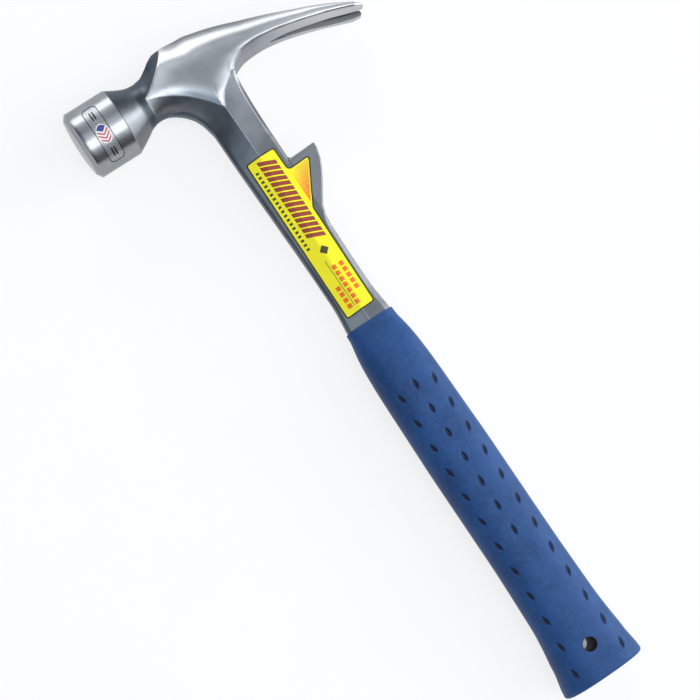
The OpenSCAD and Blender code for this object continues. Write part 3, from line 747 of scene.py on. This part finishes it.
def dimple_centres():
    """Middle, way along, way across and way out of each dimple on both faces."""
    first = DIMPLE_RISE + (SIDE_DIMPLES - 1) * DIMPLE_PITCH
    spots = [(first - k * DIMPLE_PITCH, side) for side in (-1, 1) for k in range(SIDE_DIMPLES)]
    spots += [(first - (k - MID_SHIFT) * DIMPLE_PITCH, 0) for k in range(MID_DIMPLES)]
    found = []
    for rise, side in spots:
        u = 1 - rise / GRIP_LEN
        half_w, half_t, power, middle = (float(value) for value in grip_form(u))
        off = side * mix(*ROW_SHARES, u)
        up = (1 - abs(off) ** power) ** (1 / power)
        tilt = math.atan2(np.sign(off) * abs(off) ** (power - 1) / half_w, up ** (power - 1) / half_t)
        turn = math.radians(-side * DIMPLE_TURN)
        c, s, lean_c, lean_s = math.cos(turn), math.sin(turn), math.cos(tilt), math.sin(tilt)
        across = np.array([c * lean_c, s, -c * lean_s])
        along = np.array([-s * lean_c, c, s * lean_s])
        out = np.cross(across, along)
        centre = np.array([middle + off * half_w, -NECK_LEN - GRIP_LEN * u, up * half_t])
        for face in (1, -1):
            flip = np.array([1, 1, face])
            found.append((centre * flip, along * flip, across * flip, out * flip))
    return found


def dimple_offsets(points):
    """For each dimple, how far the points lie along it, across it and outwards, and the way out."""
    for centre, along, across, out in dimple_centres():
        off = points - centre
        yield off @ along, off @ across, off @ out, out


# A dimple touches points up to this height from its middle, and finer faces reach this far round it
DIMPLE_NEAR, FINE_NEAR, FINE_MARGIN = 3, 4, 0.5


def dimple_depth(points):
    """How deep each point lies in a dimple, and the way out there."""
    depth, outward = np.zeros(len(points)), np.zeros_like(points)
    for along, across, height, out in dimple_offsets(points):
        fill = np.maximum(1 - (2 * along / DIMPLE_LEN) ** 2, 0)
        r = np.abs(across) / np.maximum(DIMPLE_W / 2 * fill, 1e-6)
        inside = (np.abs(height) < DIMPLE_NEAR) & (fill > 0) & (r < 1)
        depth = np.where(inside, DIMPLE_DEPTH * fill * (1 - np.minimum(r, 1) ** 2), depth)
        outward[inside] = out
    return depth, outward


def near_dimple(points):
    close = np.zeros(len(points), bool)
    for along, across, height, out in dimple_offsets(points):
        close |= ((np.abs(height) < FINE_NEAR) & (np.abs(along) < DIMPLE_LEN / 2 + FINE_MARGIN)
                  & (np.abs(across) < DIMPLE_W / 2 + FINE_MARGIN))
    return close


# Rows of points: from where to where along the grip, and how many
ROWS = [(-1, 0, 12), (0, 0.97, 229), (0.97, 1, 7), (1, 1.5, 8)]
LAST_ROWS = (1.5, 1.98, 10)
COLUMNS_ROUND = 132
BORE_SIDES, BORE_HALF = 64, 30
GRIP_CREASE = 50


def bore_middle():
    return grip_form(1 - HOLE_RISE / GRIP_LEN)[3]


def grip():
    rows = [np.linspace(start, end, count, endpoint=False) for start, end, count in ROWS]
    rows = np.concatenate(rows + [np.linspace(*LAST_ROWS)])
    work = bmesh.new()
    grid = [[work.verts.new((k / COLUMNS_ROUND, v, 0)) for k in range(COLUMNS_ROUND + 1)] for v in rows]
    for a, b in zip(grid[:-1], grid[1:]):
        for k in range(COLUMNS_ROUND):
            work.faces.new((a[k], a[k + 1], b[k + 1], b[k]))
    faces = list(work.faces)
    middles = np.array([face.calc_center_median()[:2] for face in faces])
    close = near_dimple(grip_point(middles[:, 1], middles[:, 0] * 2 * math.pi))
    edges = {edge for face, hit in zip(faces, close) if hit for edge in face.edges}
    bmesh.ops.subdivide_edges(work, edges=list(edges), cuts=2, use_grid_fill=True)
    flat = np.array([vert.co[:2] for vert in work.verts])
    points = grip_point(flat[:, 1], flat[:, 0] * 2 * math.pi)
    depth, outward = dimple_depth(points)
    lay(work, points - outward * depth[:, None], {"dimple": depth / DIMPLE_DEPTH})
    bmesh.ops.remove_doubles(work, verts=work.verts, dist=1e-6)
    bmesh.ops.holes_fill(work, edges=[edge for edge in work.edges if edge.is_boundary], sides=0)
    bmesh.ops.recalc_face_normals(work, faces=work.faces)
    obj = object_from(work, "moulded_grip")
    turn = np.arange(BORE_SIDES) * 2 * math.pi / BORE_SIDES
    x, y = bore_middle() + HOLE_R * np.cos(turn), BUTT_END + HOLE_RISE + HOLE_R * np.sin(turn)
    rings = [np.column_stack([x, y, np.full(BORE_SIDES, z)]) for z in (-BORE_HALF, BORE_HALF)]
    cut(obj, loft("bore", rings))
    return crisp(obj, GRIP_CREASE)


# Film labels

# Thickness of the two films, how far each lies off the steel, its grid, and its sharpest smooth edge
LABEL_T, BELL_LABEL_T = 0.25, 0.12
LABEL_GAP, BELL_LABEL_GAP = 0.05, 0.04
LABEL_GRID, BELL_LABEL_GRID = 1.0, 0.5
FILM_CREASE = 40
# Corners from the lower left round to the upper left, with the flap that lies on the tooth
LABEL = [(-9.5, -155.3), (8.3, -154.6), (9.1, -95.2), (23.4, -69.8), (9.3, -70.5), (9.1, -56.4),
         (-8.8, -56.9)]
LABEL_LOW, LABEL_HIGH, LABEL_R = -155, -57, 1.8


def rounded(corners, r, steps=6):
    """Outline with its corners rounded."""
    n = len(corners)
    outline = []
    for k in range(n):
        here, before, after = (np.array(corners[i % n], float) for i in (k, k - 1, k + 1))
        a, b = before - here, after - here
        a, b = a / np.linalg.norm(a), b / np.linalg.norm(b)
        half = math.acos(float(np.clip(a @ b, -1, 1))) / 2
        start, end = here + a * r / math.tan(half), here + b * r / math.tan(half)
        for u in np.linspace(0, 1, steps + 1):
            outline.append(start * (1 - u) ** 2 + here * 2 * u * (1 - u) + end * u * u)
    return np.array(outline)


def steel_height(x, y):
    """Height of the neck and the tooth over the middle plane."""
    ridge_x, ridge_z = smooth(RIDGE_X, y), smooth(RIDGE_Z, y)
    half, bevel = smooth(NECK_HALF, y), smooth(CLAW_BEVEL, y)
    bell_run = (ridge_x - x) / (ridge_x + half - BELL_BEVEL)
    claw_run = (x - ridge_x) / (half - bevel - ridge_x)
    shoulder = EDGE_T / 2 + SHOULDER_RISE
    strip_z = smooth(STRIP_Z, y)
    beyond = mix(strip_z, EDGE_T / 2, np.clip((x - half + bevel) / bevel, 0, 1))
    claw = np.where(claw_run < 1, mix(ridge_z, strip_z, claw_run), beyond)
    neck = np.where(x < ridge_x, mix(ridge_z, shoulder, bell_run), claw)
    return np.where(x > half - bevel, np.maximum(neck, TOOTH_T / 2), neck)


def edge_distance(points, outline):
    return path_distance(points, [*outline, outline[0]])


def sheet(outline, xs, ys):
    """Flat face inside the outline, cut along lines at each x and each y, and its points."""
    work = bmesh.new()
    work.faces.new([work.verts.new((x, y, 0)) for x, y in outline])
    for place, way in [((x, 0, 0), (1, 0, 0)) for x in xs] + [((0, y, 0), (0, 1, 0)) for y in ys]:
        parts = list(work.verts) + list(work.edges) + list(work.faces)
        bmesh.ops.bisect_plane(work, geom=parts, plane_co=place, plane_no=way)
    return work, np.array([vert.co[:2] for vert in work.verts])


def film(work, name, thickness):
    """Gives the sheet its thickness, on the side away from the steel."""
    obj = modify(object_from(work, name), "SOLIDIFY", thickness=thickness * MM, offset=1)
    return crisp(obj, FILM_CREASE)


def neck_label():
    """Film on the neck and on the side of the tooth."""
    outline = rounded(LABEL, LABEL_R)
    left, right = LABEL[0][0], LABEL[3][0]
    xs = [*np.arange(left + LABEL_GRID, right, LABEL_GRID), 0]
    work, flat = sheet(outline, xs, np.arange(LABEL_LOW + LABEL_GRID, LABEL_HIGH, LABEL_GRID))
    heights = steel_height(flat[:, 0], flat[:, 1]) + LABEL_GAP
    lay(work, np.column_stack([flat, heights]), {"inset": edge_distance(flat, outline)})
    return film(work, "neck_film", LABEL_T)


# Bell label: ends along x, turns round the bell in degrees, and radius of its corners
BELL_LABEL_X, BELL_LABEL_TURN, BELL_LABEL_R = (-67.4, -58.6), (-67.5, 39.5), 3.6


def bell_label():
    """Clear film wrapped round the bell's side."""
    low, high = (math.radians(angle) * BELL_R for angle in BELL_LABEL_TURN)
    left, right = BELL_LABEL_X
    step = BELL_LABEL_GRID
    outline = rounded([(left, low), (right, low), (right, high), (left, high)], BELL_LABEL_R)
    work, flat = sheet(outline, np.arange(left + step, right, step), np.arange(low + step, high, step))
    across, along = (flat - ((left + right) / 2, (low + high) / 2)).T
    turn = flat[:, 1] / BELL_R
    r = BELL_R + BELL_LABEL_GAP
    marks = {"inset": edge_distance(flat, outline), "across": across, "along": along}
    lay(work, np.column_stack([flat[:, 0], r * np.sin(turn), r * np.cos(turn)]), marks)
    return film(work, "bell_film", BELL_LABEL_T)


# Materials


class Nodes:
    """Short calls for building a material's nodes."""

    def __init__(self, name):
        self.material = bpy.data.materials.new(name)
        self.material.use_nodes = True
        self.tree = self.material.node_tree
        self.shader = self.tree.nodes["Principled BSDF"]

    def plug(self, socket, value):
        """Links a socket, or sets a number or a colour."""
        if isinstance(value, bpy.types.NodeSocket):
            self.tree.links.new(value, socket)
        elif isinstance(value, tuple):
            socket.default_value = (*value, 1)
        elif value is not None:
            socket.default_value = value

    def shade(self, **values):
        """Sets the shader's inputs, named with _ for each space."""
        for name, value in values.items():
            self.plug(self.shader.inputs[name.replace("_", " ")], value)

    def add(self, kind, *values, **settings):
        node = self.tree.nodes.new("ShaderNode" + kind)
        for key, value in settings.items():
            setattr(node, key, value)
        for socket, value in zip(node.inputs, values):
            self.plug(socket, value)
        return node

    def math(self, operation, *values):
        return self.add("Math", *values, operation=operation).outputs[0]

    def chain(self, operation, values):
        found = values[0]
        for value in values[1:]:
            found = self.math(operation, found, value)
        return found

    def times(self, *values):
        return self.chain("MULTIPLY", values)

    def plus(self, *values):
        return self.chain("ADD", values)

    def most(self, *values):
        return self.chain("MAXIMUM", values)

    def less(self, a, b):
        return self.math("SUBTRACT", a, b)

    def size(self, value):
        return self.math("ABSOLUTE", value)

    def over(self, value, limit):
        return self.math("GREATER_THAN", value, limit)

    def under(self, value, limit):
        return self.math("LESS_THAN", value, limit)

    def between(self, value, low, high):
        return self.times(self.over(value, low), self.under(value, high))

    def stripes(self, value, pitch, share):
        return self.under(self.math("FRACT", self.math("DIVIDE", value, pitch)), share)

    def radius(self, a, b):
        return self.math("SQRT", self.plus(self.times(a, a), self.times(b, b)))

    def attribute(self, name):
        return self.add("Attribute", attribute_name=name).outputs["Fac"]

    def place(self, scale=None):
        """Millimetres in the local frame, stretched if that is asked."""
        coords = self.add("TexCoord").outputs["Object"]
        moved = self.add("Mapping", coords, vector_type="POINT")
        moved.inputs["Scale"].default_value = (1 / MM, 1 / MM, 1 / MM)
        moved.inputs["Location"].default_value = (MID_X, MID_Y, -BELL_R)
        if scale is None:
            return moved.outputs[0]
        again = self.add("Mapping", moved.outputs[0], vector_type="POINT")
        again.inputs["Scale"].default_value = scale
        return again.outputs[0]

    def place_xy(self):
        coords = self.add("SeparateXYZ", self.place())
        return coords.outputs[0], coords.outputs[1]

    def noise(self, scale, detail=3.0, place=None, roughness=0.55):
        node = self.add("TexNoise", place or self.place())
        node.inputs["Scale"].default_value = scale
        node.inputs["Detail"].default_value = detail
        node.inputs["Roughness"].default_value = roughness
        return node.outputs[0]

    def blend(self, share, a, b):
        node = self.tree.nodes.new("ShaderNodeMix")
        node.data_type = "RGBA"
        for socket, value in zip((0, 6, 7), (share, a, b)):
            self.plug(node.inputs[socket], value)
        return node.outputs[2]

    def ramp(self, value, low, high, out_low=0.0, out_high=1.0):
        node = self.add("MapRange", value, interpolation_type="SMOOTHSTEP")
        for socket, number in zip(node.inputs[1:5], (low, high, out_low, out_high)):
            socket.default_value = number
        return node.outputs[0]

    def bump(self, height, strength, distance):
        node = self.add("Bump")
        node.inputs["Strength"].default_value = strength
        node.inputs["Distance"].default_value = distance
        self.plug(node.inputs["Height"], height)
        self.plug(self.shader.inputs["Normal"], node.outputs[0])


# Steel: two shades, the grain's, the painted highlight's and the painted shade's
STEEL_A, STEEL_B = (0.30, 0.312, 0.33), (0.34, 0.35, 0.363)
STEEL_GRAIN, STEEL_HIGHLIGHT, STEEL_SHADE = (0.24, 0.255, 0.275), (0.77, 0.775, 0.79), (0.033, 0.048, 0.062)
STEEL_TINT = (0.72, 0.76, 0.80)
GRAIN_SHARE, HIGHLIGHT_SHARE, SHADE_SHARE = 0.12, 0.88, 0.85
# How dark the painted shade is on each marked surface, and in the crook, where it fades down the neck
SHADE_MARKS = {"wall": 0.88, "recess_shade": 0.75, "shank_shade": 0.52, "crown": 0.55}
CROOK_SHADE = 0.36
CROOK_FADE = (-75, -30)
# How dark the painted shade on the cone is from its lower to its upper side
CONE_SHADE = (0.45, 0.9)
# Where the painted highlight on the face's bevel starts along x, and how strong it gets
FACE_HIGHLIGHT = (-76.2, -76.8, 0.0, 0.4)
# How much smoother the turned bell is than the rest
BELL_SMOOTHER = 0.11


def painted_shade_behind_bell(m, x, y, wander):
    """Painted shade in the hollow of the waist and the cone, up to the cheek's upper crease."""
    reach = m.plus(x, -WAIST_X)
    rise = m.times(reach, m.plus(m.times(reach, 0.02), 0.47))
    above = m.times(m.ramp(m.less(m.less(y, rise), 0.6), 0.0, 0.8), m.ramp(x, -38, -35))
    waist = m.times(m.ramp(x, -42, -37), m.ramp(x, -33.4, -34.6))
    cone = m.times(m.ramp(x, -35, -37), m.ramp(m.plus(y, wander), 1.0, 7.0, *CONE_SHADE))
    ahead, behind = m.ramp(x, BELL_BACK - 0.3, BELL_BACK + 0.3), m.ramp(x, PEAK_X - 0.2, PEAK_X - 1.6)
    return m.times(m.most(above, m.most(waist, cone)), ahead, behind)


def painted_shade_along_crook(m, x, y, wander):
    """Painted shade in the hollow of the crook, below the cheek's lower crease."""
    reach = m.plus(x, -WAIST_X)
    sink = m.times(reach, m.plus(m.times(reach, 0.01765), 0.181))
    below = m.ramp(m.less(m.less(0.4, sink), y), -0.1, 0.7)
    crook = m.times(below, m.ramp(x, -36, -34), m.ramp(x, 2.5, -0.5))
    return m.times(crook, m.ramp(m.plus(y, m.times(wander, 4.0)), *CROOK_FADE))


def steel_material():
    """Satin ground steel, turned on the bell, with painted shade in the hollows behind it and painted
    highlights along the cheek's borders.
    """
    m = Nodes("forged_polished_steel")
    x, y = m.place_xy()
    lines = m.noise(1.0, 4, m.place((14, 0.25, 14)))
    cloud, fine = m.noise(0.09, 4), m.noise(3.5, 5)
    streak = m.ramp(lines, 0.3, 0.7)
    wander = m.ramp(m.noise(0.25, 3), 0.2, 0.8, -1.2, 1.2)
    # Painted shade: the hollows behind the bell and in the crook, the walls, the slot's cuts, the neck's
    # claw side and the topmost edge
    painted_shade = m.most(painted_shade_behind_bell(m, x, y, wander), m.times(painted_shade_along_crook(m, x, y, wander), CROOK_SHADE))
    for name, share in SHADE_MARKS.items():
        painted_shade = m.most(painted_shade, m.times(m.attribute(name), share))
    # Painted highlights: the cheek's borders, the claw's underside and the face's bevel
    painted_highlight = m.most(m.attribute("painted_highlight"), m.attribute("underside"), m.ramp(x, *FACE_HIGHLIGHT))
    base = m.blend(m.ramp(cloud, 0.35, 0.65), STEEL_A, STEEL_B)
    base = m.blend(m.times(streak, GRAIN_SHARE), base, STEEL_GRAIN)
    base = m.blend(m.times(painted_highlight, HIGHLIGHT_SHARE), base, STEEL_HIGHLIGHT)
    base = m.blend(m.times(painted_shade, SHADE_SHARE), base, STEEL_SHADE)
    rough = m.plus(m.ramp(cloud, 0.3, 0.7, 0.27, 0.34), m.times(streak, 0.05))
    rough = m.plus(rough, m.times(painted_shade, 0.04))
    rough = m.less(rough, m.times(m.ramp(x, BELL_BACK, BELL_BACK - 0.4), BELL_SMOOTHER))
    m.shade(Base_Color=base, Metallic=1.0, Specular_Tint=STEEL_TINT, Roughness=rough)
    m.bump(m.plus(m.times(lines, 0.6), m.times(fine, 0.4)), 0.12, 0.0001)
    return m.material


# Grip: two shades, the mottle's, the grain's, and the painted shade in the dimples and in the lanyard hole
GRIP_A, GRIP_B = (0.010, 0.047, 0.160), (0.016, 0.068, 0.222)
GRIP_MOTTLE, GRIP_GRAIN = (0.028, 0.118, 0.34), (0.04, 0.12, 0.28)
GRIP_DIMPLE_SHADE, GRIP_BORE_SHADE = (0.006, 0.010, 0.035), (0.001, 0.002, 0.005)
MOTTLE_SHARE, GRIP_GRAIN_SHARE, DIMPLE_SHADE_SHARE, BORE_SHADE_SHARE = 0.28, 0.18, 0.88, 0.97


def grip_material():
    """Fine-grained moulded grip, with painted shade in its dimples and its hole."""
    m = Nodes("moulded_grip")
    x, y = m.place_xy()
    grain, cloud, mottle = m.noise(2.2, 5), m.noise(0.06, 3), m.noise(0.45, 4)
    base = m.blend(m.ramp(cloud, 0.3, 0.7), GRIP_A, GRIP_B)
    base = m.blend(m.times(m.ramp(mottle, 0.4, 0.75), MOTTLE_SHARE), base, GRIP_MOTTLE)
    base = m.blend(m.times(m.ramp(grain, 0.35, 0.7), GRIP_GRAIN_SHARE), base, GRIP_GRAIN)
    # Painted shade in the dimples, by their depth
    base = m.blend(m.ramp(m.attribute("dimple"), 0.05, 0.5, 0.0, DIMPLE_SHADE_SHARE), base, GRIP_DIMPLE_SHADE)
    # Painted shade in the lanyard hole
    apart = m.radius(m.less(x, bore_middle()), m.less(y, BUTT_END + HOLE_RISE))
    base = m.blend(m.ramp(apart, HOLE_R + 0.25, HOLE_R + 0.05, 0.0, BORE_SHADE_SHARE), base, GRIP_BORE_SHADE)
    m.shade(Base_Color=base, Roughness=m.ramp(grain, 0.2, 0.8, 0.46, 0.62), Specular_IOR_Level=0.3)
    m.bump(grain, 0.25, 0.00025)
    return m.material


# Neck label: colours, then each part of its plain print in local millimetres
YELLOW_A, YELLOW_B = (0.93, 0.82, 0.008), (0.96, 0.86, 0.012)
ORANGE, PALE_ORANGE = (0.93, 0.22, 0.02), (0.96, 0.66, 0.10)
MAROON, PALE_MAROON = (0.25, 0.035, 0.018), (0.34, 0.05, 0.028)
INK, RED, LABEL_EDGE = (0.05, 0.05, 0.012), (0.85, 0.16, 0.012), (0.016, 0.020, 0.008)
# Striped blocks: sides, ends, slant and shift of the stripes, their pitch, their share and colour
BLOCKS = [
    ((-3.4, 6.3), (-109, -60), 0.4, 0, 3.3, 0.74, MAROON),
    ((-2.8, 5.7), (-109, -60), 0.4, 0.45, 3.3, 0.47, PALE_MAROON),
    ((-7.0, -5.2), (-113.5, -62.2), 0, 0, 2.7, 0.5, INK),
    ((3.2, 5.7), (-144, -126.1), 0, 0, 3.6, 0.72, RED),
    ((-1.2, 1.3), (-151.3, -126.1), 0, 0, 3.6, 0.72, RED),
    ((-5.8, -3.3), (-151.3, -137), 0, 0, 3.6, 0.72, RED),
]
# Checks on the flap, which starts at FLAP_X and reddens over FLAP_FADE
FLAP_X, FLAP_BORDER, FLAP_FADE, CHECK_PITCH, CHECK_SHARE = 9.4, 1.3, (56, 71), 2.6, 0.3
# Rule, then diamond and border
RULE_SIDES, RULE_ENDS, RULE_SHARE = (-2.5, -2.0), (-151.2, -123), 0.7
DIAMOND_X, DIAMOND_Y, DIAMOND_HALF = 0.8, -117.5, 2.8
LABEL_BORDER = 0.72


def label_material():
    """Yellow film with a plain print of bars, dashes, squares, a rule and a diamond."""
    m = Nodes("printed_label")
    x, y = m.place_xy()
    inset = m.attribute("inset")
    flap = m.times(m.over(x, FLAP_X), m.over(inset, FLAP_BORDER))
    redder = m.ramp(m.plus(m.times(y, -0.75), m.times(x, 0.4)), *FLAP_FADE)
    checks = m.times(flap, m.stripes(x, CHECK_PITCH, 0.5), m.stripes(y, CHECK_PITCH, 0.5))
    base = m.blend(m.ramp(m.noise(0.15, 2), 0.3, 0.7), YELLOW_A, YELLOW_B)
    base = m.blend(m.times(flap, redder), base, ORANGE)
    base = m.blend(m.times(checks, CHECK_SHARE), base, PALE_ORANGE)
    for sides, ends, slant, shift, pitch, share, color in BLOCKS:
        place = m.plus(y, m.times(x, slant))
        inside = m.times(m.between(x, *sides), m.between(place, *ends))
        base = m.blend(m.times(inside, m.stripes(m.less(place, shift), pitch, share)), base, color)
    rule = m.times(m.between(x, *RULE_SIDES), m.between(y, *RULE_ENDS), RULE_SHARE)
    off = m.plus(m.size(m.less(y, DIAMOND_Y)), m.size(m.less(x, DIAMOND_X)))
    base = m.blend(m.most(rule, m.under(off, DIAMOND_HALF)), base, INK)
    base = m.blend(m.under(inset, LABEL_BORDER), base, LABEL_EDGE)
    m.shade(Base_Color=base, Roughness=m.ramp(m.noise(0.8, 3), 0.3, 0.7, 0.34, 0.44))
    m.bump(m.noise(1.2, 3), 0.06, 0.0002)
    return m.material


# Bell label: colours, the oval's half sizes, chevrons, end bars and border in millimetres
CLEAR, OVAL_WHITE, OVAL_BLUE = (0.62, 0.64, 0.66), (0.82, 0.82, 0.84), (0.045, 0.055, 0.26)
OVAL_RED, BELL_INK = (0.50, 0.04, 0.05), (0.012, 0.012, 0.014)
OVAL_W, OVAL_H, OVAL_RIM = 3.7, 5.6, 0.9
CHEVRON_SLOPE, CHEVRON_PITCH, BLUE_FROM, RED_TO = 0.8, 2.1, 1.0, 0.2
END_MIDDLE, END_HALF, END_LANES = 11.3, 2.7, (0.35, 1.25)
BELL_BORDER, CLEAR_ALPHA = 0.42, 0.10


def bell_label_material():
    """Clear film with a black border, an oval of chevrons and short bars above and below it."""
    m = Nodes("clear_label")
    x, y = m.attribute("across"), m.attribute("along")
    off = m.size(x)
    reach = m.radius(m.math("DIVIDE", x, OVAL_W), m.math("DIVIDE", y, OVAL_H))
    oval, rim = m.under(reach, 1.0), m.under(reach, OVAL_RIM)
    level_y = m.less(y, m.times(off, CHEVRON_SLOPE))
    chevrons = m.stripes(m.plus(level_y, 20.0), CHEVRON_PITCH, 0.5)
    ends = m.under(m.size(m.less(m.size(y), END_MIDDLE)), END_HALF)
    ink = m.most(m.times(ends, m.between(off, *END_LANES)), m.under(m.attribute("inset"), BELL_BORDER))
    base = m.blend(oval, CLEAR, OVAL_WHITE)
    base = m.blend(m.times(rim, m.over(level_y, BLUE_FROM)), base, OVAL_BLUE)
    base = m.blend(m.times(rim, chevrons, m.under(level_y, RED_TO)), base, OVAL_RED)
    base = m.blend(ink, base, BELL_INK)
    m.shade(Base_Color=base, Alpha=m.ramp(m.most(ink, oval), 0.0, 1.0, CLEAR_ALPHA, 1.0),
            Roughness=m.ramp(m.noise(1.5, 3), 0.3, 0.7, 0.22, 0.3))
    m.bump(m.noise(1.2, 3), 0.05, 0.0002)
    return m.material


# Camera and light

LENS, SENSOR = 102.494, 36
CAMERA_PLACE = (-0.150531, -0.079678, 1.059450)
CAMERA_TURN = (8.0257, -2.9864, -33.8390)

# Lamps: place, target, size in metres and power in watts
LAMPS = {
    "key": ((0.2, 1.8, 0.6), (0, 0.05, 0), (1.7, 0.8), 7.4),
    "fill": ((1.35, -0.9, 0.78), (0, 0, 0), (2.2, 2.2), 24),
    "top": ((-0.02, -0.42, 1.46), (-0.02, 0.15, 0), (0.6, 0.8), 2.9),
    "rim": ((1.9, -0.1, 0.6), (0, 0, 0), (0.8, 1.8), 11),
}

# Brightness of the studio by direction: colours from minus X to plus X, shares from minus Y to plus Y
SKY_ACROSS = [(-1, (0.36, 0.39, 0.42)), (-0.8, (0.08, 0.10, 0.12)), (-0.45, (0.12, 0.165, 0.215)),
              (-0.25, (0.27, 0.365, 0.45)), (-0.1, (0.42, 0.48, 0.54)), (0.05, (0.86, 0.90, 0.95)),
              (0.16, (1.2, 1.23, 1.28)), (0.32, (0.50, 0.55, 0.62)), (0.5, (0.16, 0.20, 0.25)),
              (0.78, (0.38, 0.41, 0.46)), (1, (0.9, 0.9, 0.9))]
SKY_UPWARD = [(-1, 0.10), (-0.9, 0.16), (-0.75, 0.5), (-0.55, 1.25), (-0.28, 1.35), (0, 0.95),
              (0.1, 0.85), (0.23, 0.66), (0.42, 0.40), (0.69, 0.55), (0.9, 1.25), (1, 0.95)]
SKY_STRENGTH = 1.55

# Floor: half size and depth under the hammer in metres, shades, glow where a ray sees it, and how far
# a gap has to open before it glows
FLOOR_HALF, FLOOR_DROP = 20.0, 0.0002
FLOOR_A, FLOOR_B = (0.93, 0.93, 0.93), (0.95, 0.95, 0.95)
GLOW_SHARE = 0.8
GAP_DISTANCE, GAP_OPEN = 0.05, (0.05, 0.3)


def dress(obj, material):
    obj.data.materials.clear()
    obj.data.materials.append(material)


def camera():
    data = bpy.data.cameras.new("camera")
    data.sensor_fit = "HORIZONTAL"
    data.sensor_width = SENSOR
    data.lens = LENS
    obj = new_object("camera", data)
    obj.location = CAMERA_PLACE
    obj.rotation_euler = Euler([math.radians(angle) for angle in CAMERA_TURN])
    bpy.context.scene.camera = obj


def lamp(name, place, target, size, power):
    data = bpy.data.lights.new(name, "AREA")
    data.shape = "RECTANGLE"
    data.size, data.size_y = size
    data.energy = power
    obj = new_object(name, data)
    obj.location = place
    obj.rotation_euler = (Vector(place) - Vector(target)).to_track_quat("Z", "Y").to_euler()


def sky_ramp(tree, value, stops):
    """Colour by a share from -1 to 1."""
    node = tree.nodes.new("ShaderNodeValToRGB")
    half = tree.nodes.new("ShaderNodeMapRange")
    half.inputs[1].default_value = -1
    tree.links.new(value, half.inputs[0])
    tree.links.new(half.outputs[0], node.inputs[0])
    node.color_ramp.interpolation = "EASE"
    elements = node.color_ramp.elements
    while len(elements) < len(stops):
        elements.new(0.5)
    for element, (at, color) in zip(elements, stops):
        element.position = at / 2 + 0.5
        element.color = (*color, 1) if isinstance(color, tuple) else (color, color, color, 1)
    return node.outputs[0]


def world():
    world = bpy.data.worlds.new("studio")
    bpy.context.scene.world = world
    world.use_nodes = True
    tree = world.node_tree
    back = tree.nodes["Background"]
    way = tree.nodes.new("ShaderNodeSeparateXYZ")
    tree.links.new(tree.nodes.new("ShaderNodeTexCoord").outputs["Generated"], way.inputs[0])
    product = tree.nodes.new("ShaderNodeMix")
    product.data_type = "RGBA"
    product.blend_type = "MULTIPLY"
    product.inputs[0].default_value = 1
    tree.links.new(sky_ramp(tree, way.outputs[0], SKY_ACROSS), product.inputs[6])
    tree.links.new(sky_ramp(tree, way.outputs[1], SKY_UPWARD), product.inputs[7])
    tree.links.new(product.outputs[2], back.inputs[0])
    back.inputs[1].default_value = SKY_STRENGTH


def floor_material():
    """Pale floor that glows white where a ray sees it, except in a narrow gap under the hammer."""
    m = Nodes("floor")
    m.shade(Base_Color=m.blend(m.ramp(m.noise(0.02, 2), 0.3, 0.7), FLOOR_A, FLOOR_B),
            Roughness=0.9, Specular_IOR_Level=0.1)
    path = m.add("LightPath")
    seen = m.most(*(path.outputs["Is %s Ray" % kind] for kind in ("Camera", "Glossy", "Transmission")))
    gap = m.add("AmbientOcclusion")
    gap.inputs["Distance"].default_value = GAP_DISTANCE
    seen = m.times(seen, m.ramp(gap.outputs["AO"], *GAP_OPEN))
    glow = m.add("Emission", (1, 1, 1), 1.0)
    both = m.add("MixShader", m.times(seen, GLOW_SHARE), m.shader.outputs[0], glow.outputs[0])
    m.plug(m.tree.nodes["Material Output"].inputs[0], both.outputs[0])
    return m.material


def floor():
    half = FLOOR_HALF
    mesh = bpy.data.meshes.new("floor")
    corners = [(-half, -half, 0), (half, -half, 0), (half, half, 0), (-half, half, 0)]
    mesh.from_pydata(corners, [], [(0, 1, 2, 3)])
    obj = new_object("floor", mesh)
    obj.location = (0, 0, -FLOOR_DROP)
    dress(obj, floor_material())


# The hammer

PIECES = [
    (forging, "forging", "steel", steel_material),
    (grip, "grip", "grip", grip_material),
    (neck_label, "neck_label", "label_film", label_material),
    (bell_label, "bell_label", "clear_film", bell_label_material),
]
for make, node, slot, material in PIECES:
    piece = make()
    dress(piece, material())
    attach(piece, BODY)
    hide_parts(node)

camera()
world()
floor()
for name, settings in LAMPS.items():
    lamp(name, *settings)
bpy.context.scene.view_settings.view_transform = "Standard"
